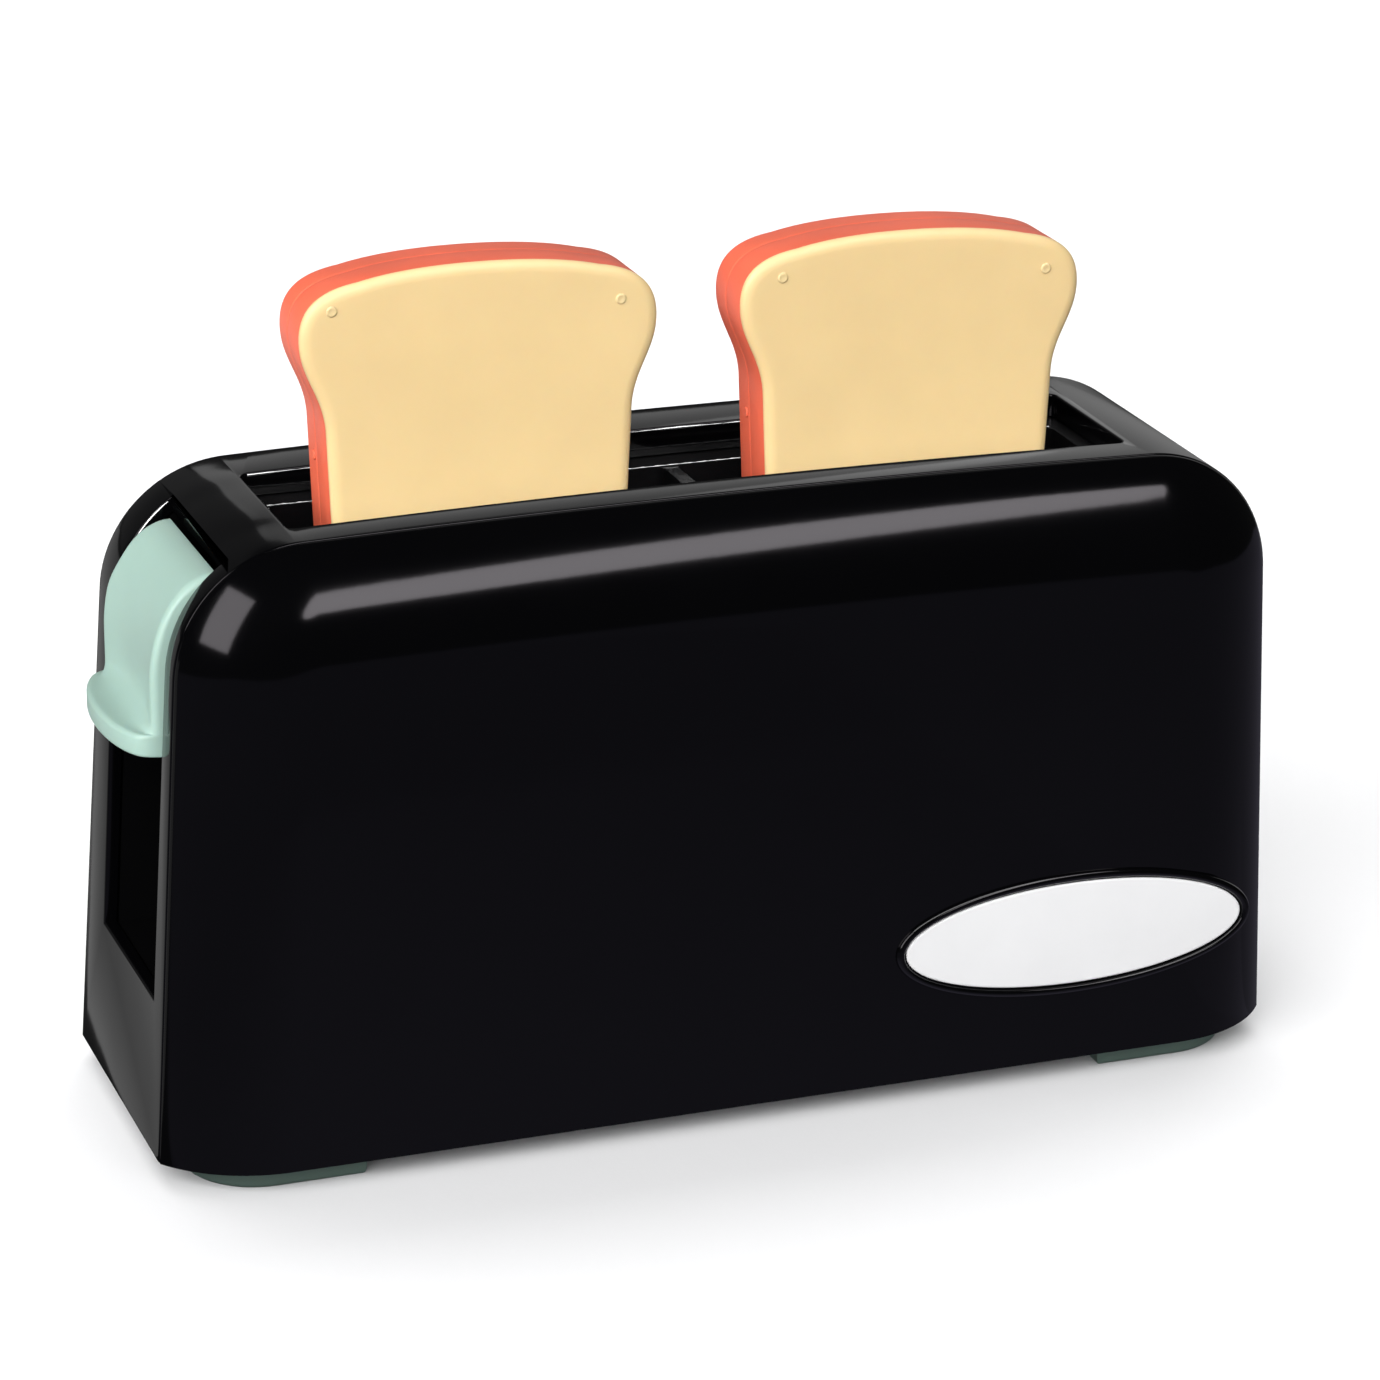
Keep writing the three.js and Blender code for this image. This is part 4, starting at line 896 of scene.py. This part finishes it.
finish_piece(centre_frame(), FRAME, "gloss_black", "housing", "centre_frame")
channel_edge = finish_piece(channel_bead(), EDGE, "gloss_black", "housing")
beads = [
    finish_piece(slot_bead(), EDGE, "gloss_black", "housing"),
    finish_piece(ledge_bead(), EDGE, "gloss_black", "housing"),
]
finish_piece(cover("hood_front", -1), GLOSS, "gloss_black", "housing", "front_cover")
finish_piece(cover("hood_rear", 1), GLOSS, "gloss_black", "housing", "rear_cover")
rim = finish_piece(badge_rim(), GLOSS, "gloss_black", "housing")
finish_piece(badge_plate(), PLATE, "pale_grey", "housing", "badge_plate")
feet = [
    finish_piece(foot("foot_left", -1), MINT, "mint", "housing", "left_foot"),
    finish_piece(foot("foot_right", 1), MINT, "mint", "housing", "right_foot"),
]
mint_lever = finish_piece(lever(), MINT, "mint", "lever", "lever")
crusts = []
plates = []
for toast_side in ("left", "right"):
    crusts.append(crust(toast_side))
    plates.append(bread_face(toast_side))
for piece in crusts + plates:
    piece.visible_glossy = False

spring = finish_piece(return_spring(), WIRE, "spring_steel", "housing", "lever_return_spring")
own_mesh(spring)

# CAD nodes that stay, with their own materials; the moulded ones get a fine rounding of their edges
moulded = {
    "base_plate": SATIN, "toast_guide": GUIDE, "lever_well": WELL, "lever_arm": SATIN,
    "toast_carriage": SATIN, "rocker": IVORY,
}
metal = ["rocker_pivot_pin", "lever_screw"]
metal += ["base_screw_%d" % (i + 1) for i in range(6)]
metal += ["guide_screw_%d" % (i + 1) for i in range(4)]
for node_name in [*moulded, *metal]:
    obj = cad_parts[node_name]
    obj.data.materials.clear()
    obj.data.materials.append(moulded.get(node_name, STEEL))
    if node_name in moulded:
        bevel = obj.modifiers.new("soft_edges", "BEVEL")
        bevel.width = SOFT_EDGE * MM
        bevel.segments = 2
        bevel.limit_method = "ANGLE"
        bevel.angle_limit = math.radians(SOFT_FROM)

# Floor and world, in metres as the lamps are

FLOOR_HALF = 6
WORLD_STRENGTH = 0.02
floor_mesh = bpy.data.meshes.new("floor")
corners = [(x * FLOOR_HALF, y * FLOOR_HALF, 0) for x, y in ((-1, -1), (1, -1), (1, 1), (-1, 1))]
floor_mesh.from_pydata(corners, [], [(0, 1, 2, 3)])
floor = bpy.data.objects.new("floor", floor_mesh)
bpy.context.scene.collection.objects.link(floor)
floor.data.materials.append(PAPER)
floor.visible_glossy = False
floor.visible_diffuse = False
floor.visible_shadow = False

world = bpy.data.worlds.new("studio")
world.use_nodes = True
background = world.node_tree.nodes["Background"]
background.inputs["Color"].default_value = (1, 1, 1, 1)
background.inputs["Strength"].default_value = WORLD_STRENGTH
bpy.context.scene.world = world


# Lamps

def light(name, location, target, size_x, size_y, power, diffuse=True, glossy=True):
    """An area lamp aimed at a point."""
    data = bpy.data.lights.new(name, "AREA")
    data.shape = "RECTANGLE"
    data.size = size_x
    data.size_y = size_y
    data.energy = power
    lamp = bpy.data.objects.new(name, data)
    lamp.location = location
    lamp.rotation_mode = "QUATERNION"
    lamp.rotation_quaternion = (Vector(target) - Vector(location)).to_track_quat("-Z", "Y")
    lamp.visible_camera = False
    lamp.visible_diffuse = diffuse
    lamp.visible_glossy = glossy
    bpy.context.scene.collection.objects.link(lamp)
    return lamp


def sun(name, direction, strength, spread):
    """A wide even light from above that doesn't show in the gloss."""
    data = bpy.data.lights.new(name, "SUN")
    data.energy = strength
    data.angle = math.radians(spread)
    lamp = bpy.data.objects.new(name, data)
    lamp.rotation_mode = "QUATERNION"
    lamp.rotation_quaternion = Vector(direction).to_track_quat("-Z", "Y")
    lamp.visible_glossy = False
    bpy.context.scene.collection.objects.link(lamp)
    return lamp


# Compass of the lamps: azimuth from straight behind the toaster towards its right, and height in degrees.
MIDDLE = Vector((0.0, 0.0, 0.09))
FACE_UP = (0, 1, 0, 0)


def softbox(name, azimuth, height, distance, size_x, size_y, radiance, roll=0, spread=180, fill=False):
    """A lamp aimed at the toaster; a fill lights the colours, any other one only shows in the gloss."""
    a, e = math.radians(azimuth), math.radians(height)
    location = MIDDLE + Vector((math.cos(e) * math.sin(a), math.cos(e) * math.cos(a), math.sin(e))) * distance
    power = radiance * math.pi * size_x * size_y
    lamp = light(name, location, MIDDLE, size_x, size_y, power, fill, not fill)
    lamp.rotation_quaternion = lamp.rotation_quaternion @ Quaternion((0, 0, 1), math.radians(roll))
    lamp.data.spread = math.radians(spread)
    return lamp


def table(name, x0, x1, y0, y1, radiance, height=0.002, spread=180, tint=(1, 1, 1)):
    """A dim card lying on the floor, face up, that shows only in the gloss."""
    middle = ((x0 + x1) / 2, (y0 + y1) / 2, height)
    power = radiance * math.pi * (x1 - x0) * (y1 - y0)
    lamp = light(name, middle, MIDDLE, x1 - x0, y1 - y0, power, False)
    lamp.rotation_quaternion = FACE_UP
    lamp.data.spread = math.radians(spread)
    lamp.data.color = tint
    return lamp


WARM_VIOLET = (1.03, 0.97, 1.03)
COLD_VIOLET = (0.88, 0.82, 1.15)

# Fills
sun("dome", (0.0, 0.1, -1.0), 0.9, 178)
left_fill = softbox("left_fill", -132, 30, 2.5, 2.8, 1.6, 5.2, fill=True)
left_low_fill = softbox("left_low_fill", -105, 8, 2.0, 2.0, 0.6, 1.6, fill=True)
front_fill = softbox("front_fill", -172, 38, 2.5, 3.2, 1.4, 2.0, fill=True)
crust_fill = softbox("crust_fill", -144, 6, 1.8, 1.4, 0.9, 3.7, fill=True)
back_fill = light("back_fill", (0.25, 1.0, 1.9), (0.25, 1.0001, 0.0), 2.6, 1.4, 35, glossy=False)
softbox("rear_fill", 20, 8, 2.5, 2.6, 1.2, 2.2, fill=True)
lever_fill = softbox("lever_fill", -112, 2, 1.6, 1.2, 0.6, 6.4, fill=True)
foot_fill = softbox("foot_fill", -150, 20, 2.0, 2.0, 1.0, 1.0, fill=True)

# Boxes and cards that show in the gloss
rim_light = softbox("rim_light", -165, 64, 1.5, 1.6, 0.5, 5.0)
slice_sky = softbox("slice_sky", -150, 60, 2.0, 3.0, 3.0, 1.0)
edge_light = softbox("edge_light", 137, 61, 1.5, 1.6, 1.6, 50)
channel_light = softbox("channel_light", -137, 34, 1.5, 1.8, 1.6, 55)
left_box = softbox("left_box", -121, 29, 1.6, 0.68, 1.06, 3.3, roll=-9)
left_box.data.color = WARM_VIOLET
front_box = softbox("front_box", 157.9, 42.3, 1.505, 1.15, 0.32, 3.5, roll=29.5)
front_box.data.shape = "ELLIPSE"
front_box.data.color = WARM_VIOLET
softbox("rear_card", 14.5, 21, 2.4, 0.97, 1.02, 0.37)
softbox("right_card", 45, 28, 1.2, 0.85, 2.7, 0.193, spread=92)
softbox("rear_left_card", -16, 18, 2.4, 1.6, 1.5, 0.05)
table("left_table", -2.0, -0.1, -0.02, 3.0, 0.24)
table("right_table", 0.103, 0.9, -0.6, 0.3, 0.08, tint=COLD_VIOLET)
table("front_table", -0.7, 0.5, -0.7, -0.03, 0.07, tint=COLD_VIOLET)
table("near_table", -0.5, 0.4, -0.2, -0.03, 0.15, height=0.004, spread=142, tint=COLD_VIOLET)
slice_table = table("slice_table", -2.0, -0.1, -0.3, 3.0, 0.9, height=0.006)


def aim(name, state, lamps, objects):
    """Makes the lamps reach only these objects (INCLUDE), or every other one (EXCLUDE)."""
    group = bpy.data.collections.new(name)
    for obj in objects:
        group.objects.link(obj)
    for lamp in lamps:
        lamp.light_linking.receiver_collection = group
    for member in group.collection_objects:
        member.light_linking.link_state = state


aim("lit_crusts", "INCLUDE", [crust_fill, slice_table], crusts)
aim("lit_plates", "INCLUDE", [slice_sky], plates)
aim("lit_lever", "INCLUDE", [lever_fill], [mint_lever])
aim("lit_floor", "INCLUDE", [back_fill], [floor])
aim("lit_edges", "INCLUDE", [edge_light], beads + [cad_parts["toast_guide"]])
aim("lit_channel", "INCLUDE", [channel_light], [channel_edge])
aim("shaded_feet", "EXCLUDE", [front_fill, left_low_fill, left_fill], feet)
aim("lit_feet", "INCLUDE", [foot_fill], feet)
aim("lit_rim", "INCLUDE", [rim_light], [rim])

# Camera at the photograph's viewing angle: turns in radians, place, lens and sensor in millimetres, and
# clipping in metres

YAW, PITCH, ROLL = 0.35276, 0.35352, 0.00993
EYE = (-269.419, -734.162, 355.87)
LENS = 127.47
SENSOR = 36
NEAREST, FARTHEST = 0.05, 50
forward = Vector((math.sin(YAW) * math.cos(PITCH), math.cos(YAW) * math.cos(PITCH), -math.sin(PITCH)))
level = Vector((math.cos(YAW), -math.sin(YAW), 0))
above = level.cross(forward)
across = level * math.cos(ROLL) + above * math.sin(ROLL)
upward = above * math.cos(ROLL) - level * math.sin(ROLL)
camera_data = bpy.data.cameras.new("camera")
camera_data.sensor_width = SENSOR
camera_data.lens = LENS
camera_data.clip_start = NEAREST
camera_data.clip_end = FARTHEST
camera = bpy.data.objects.new("camera", camera_data)
turn = Matrix((across, upward, -forward)).transposed().to_4x4()
camera.matrix_world = Matrix.Translation(place(*EYE)) @ turn
bpy.context.scene.collection.objects.link(camera)
bpy.context.scene.camera = camera
bpy.context.scene.view_settings.view_transform = "Standard"
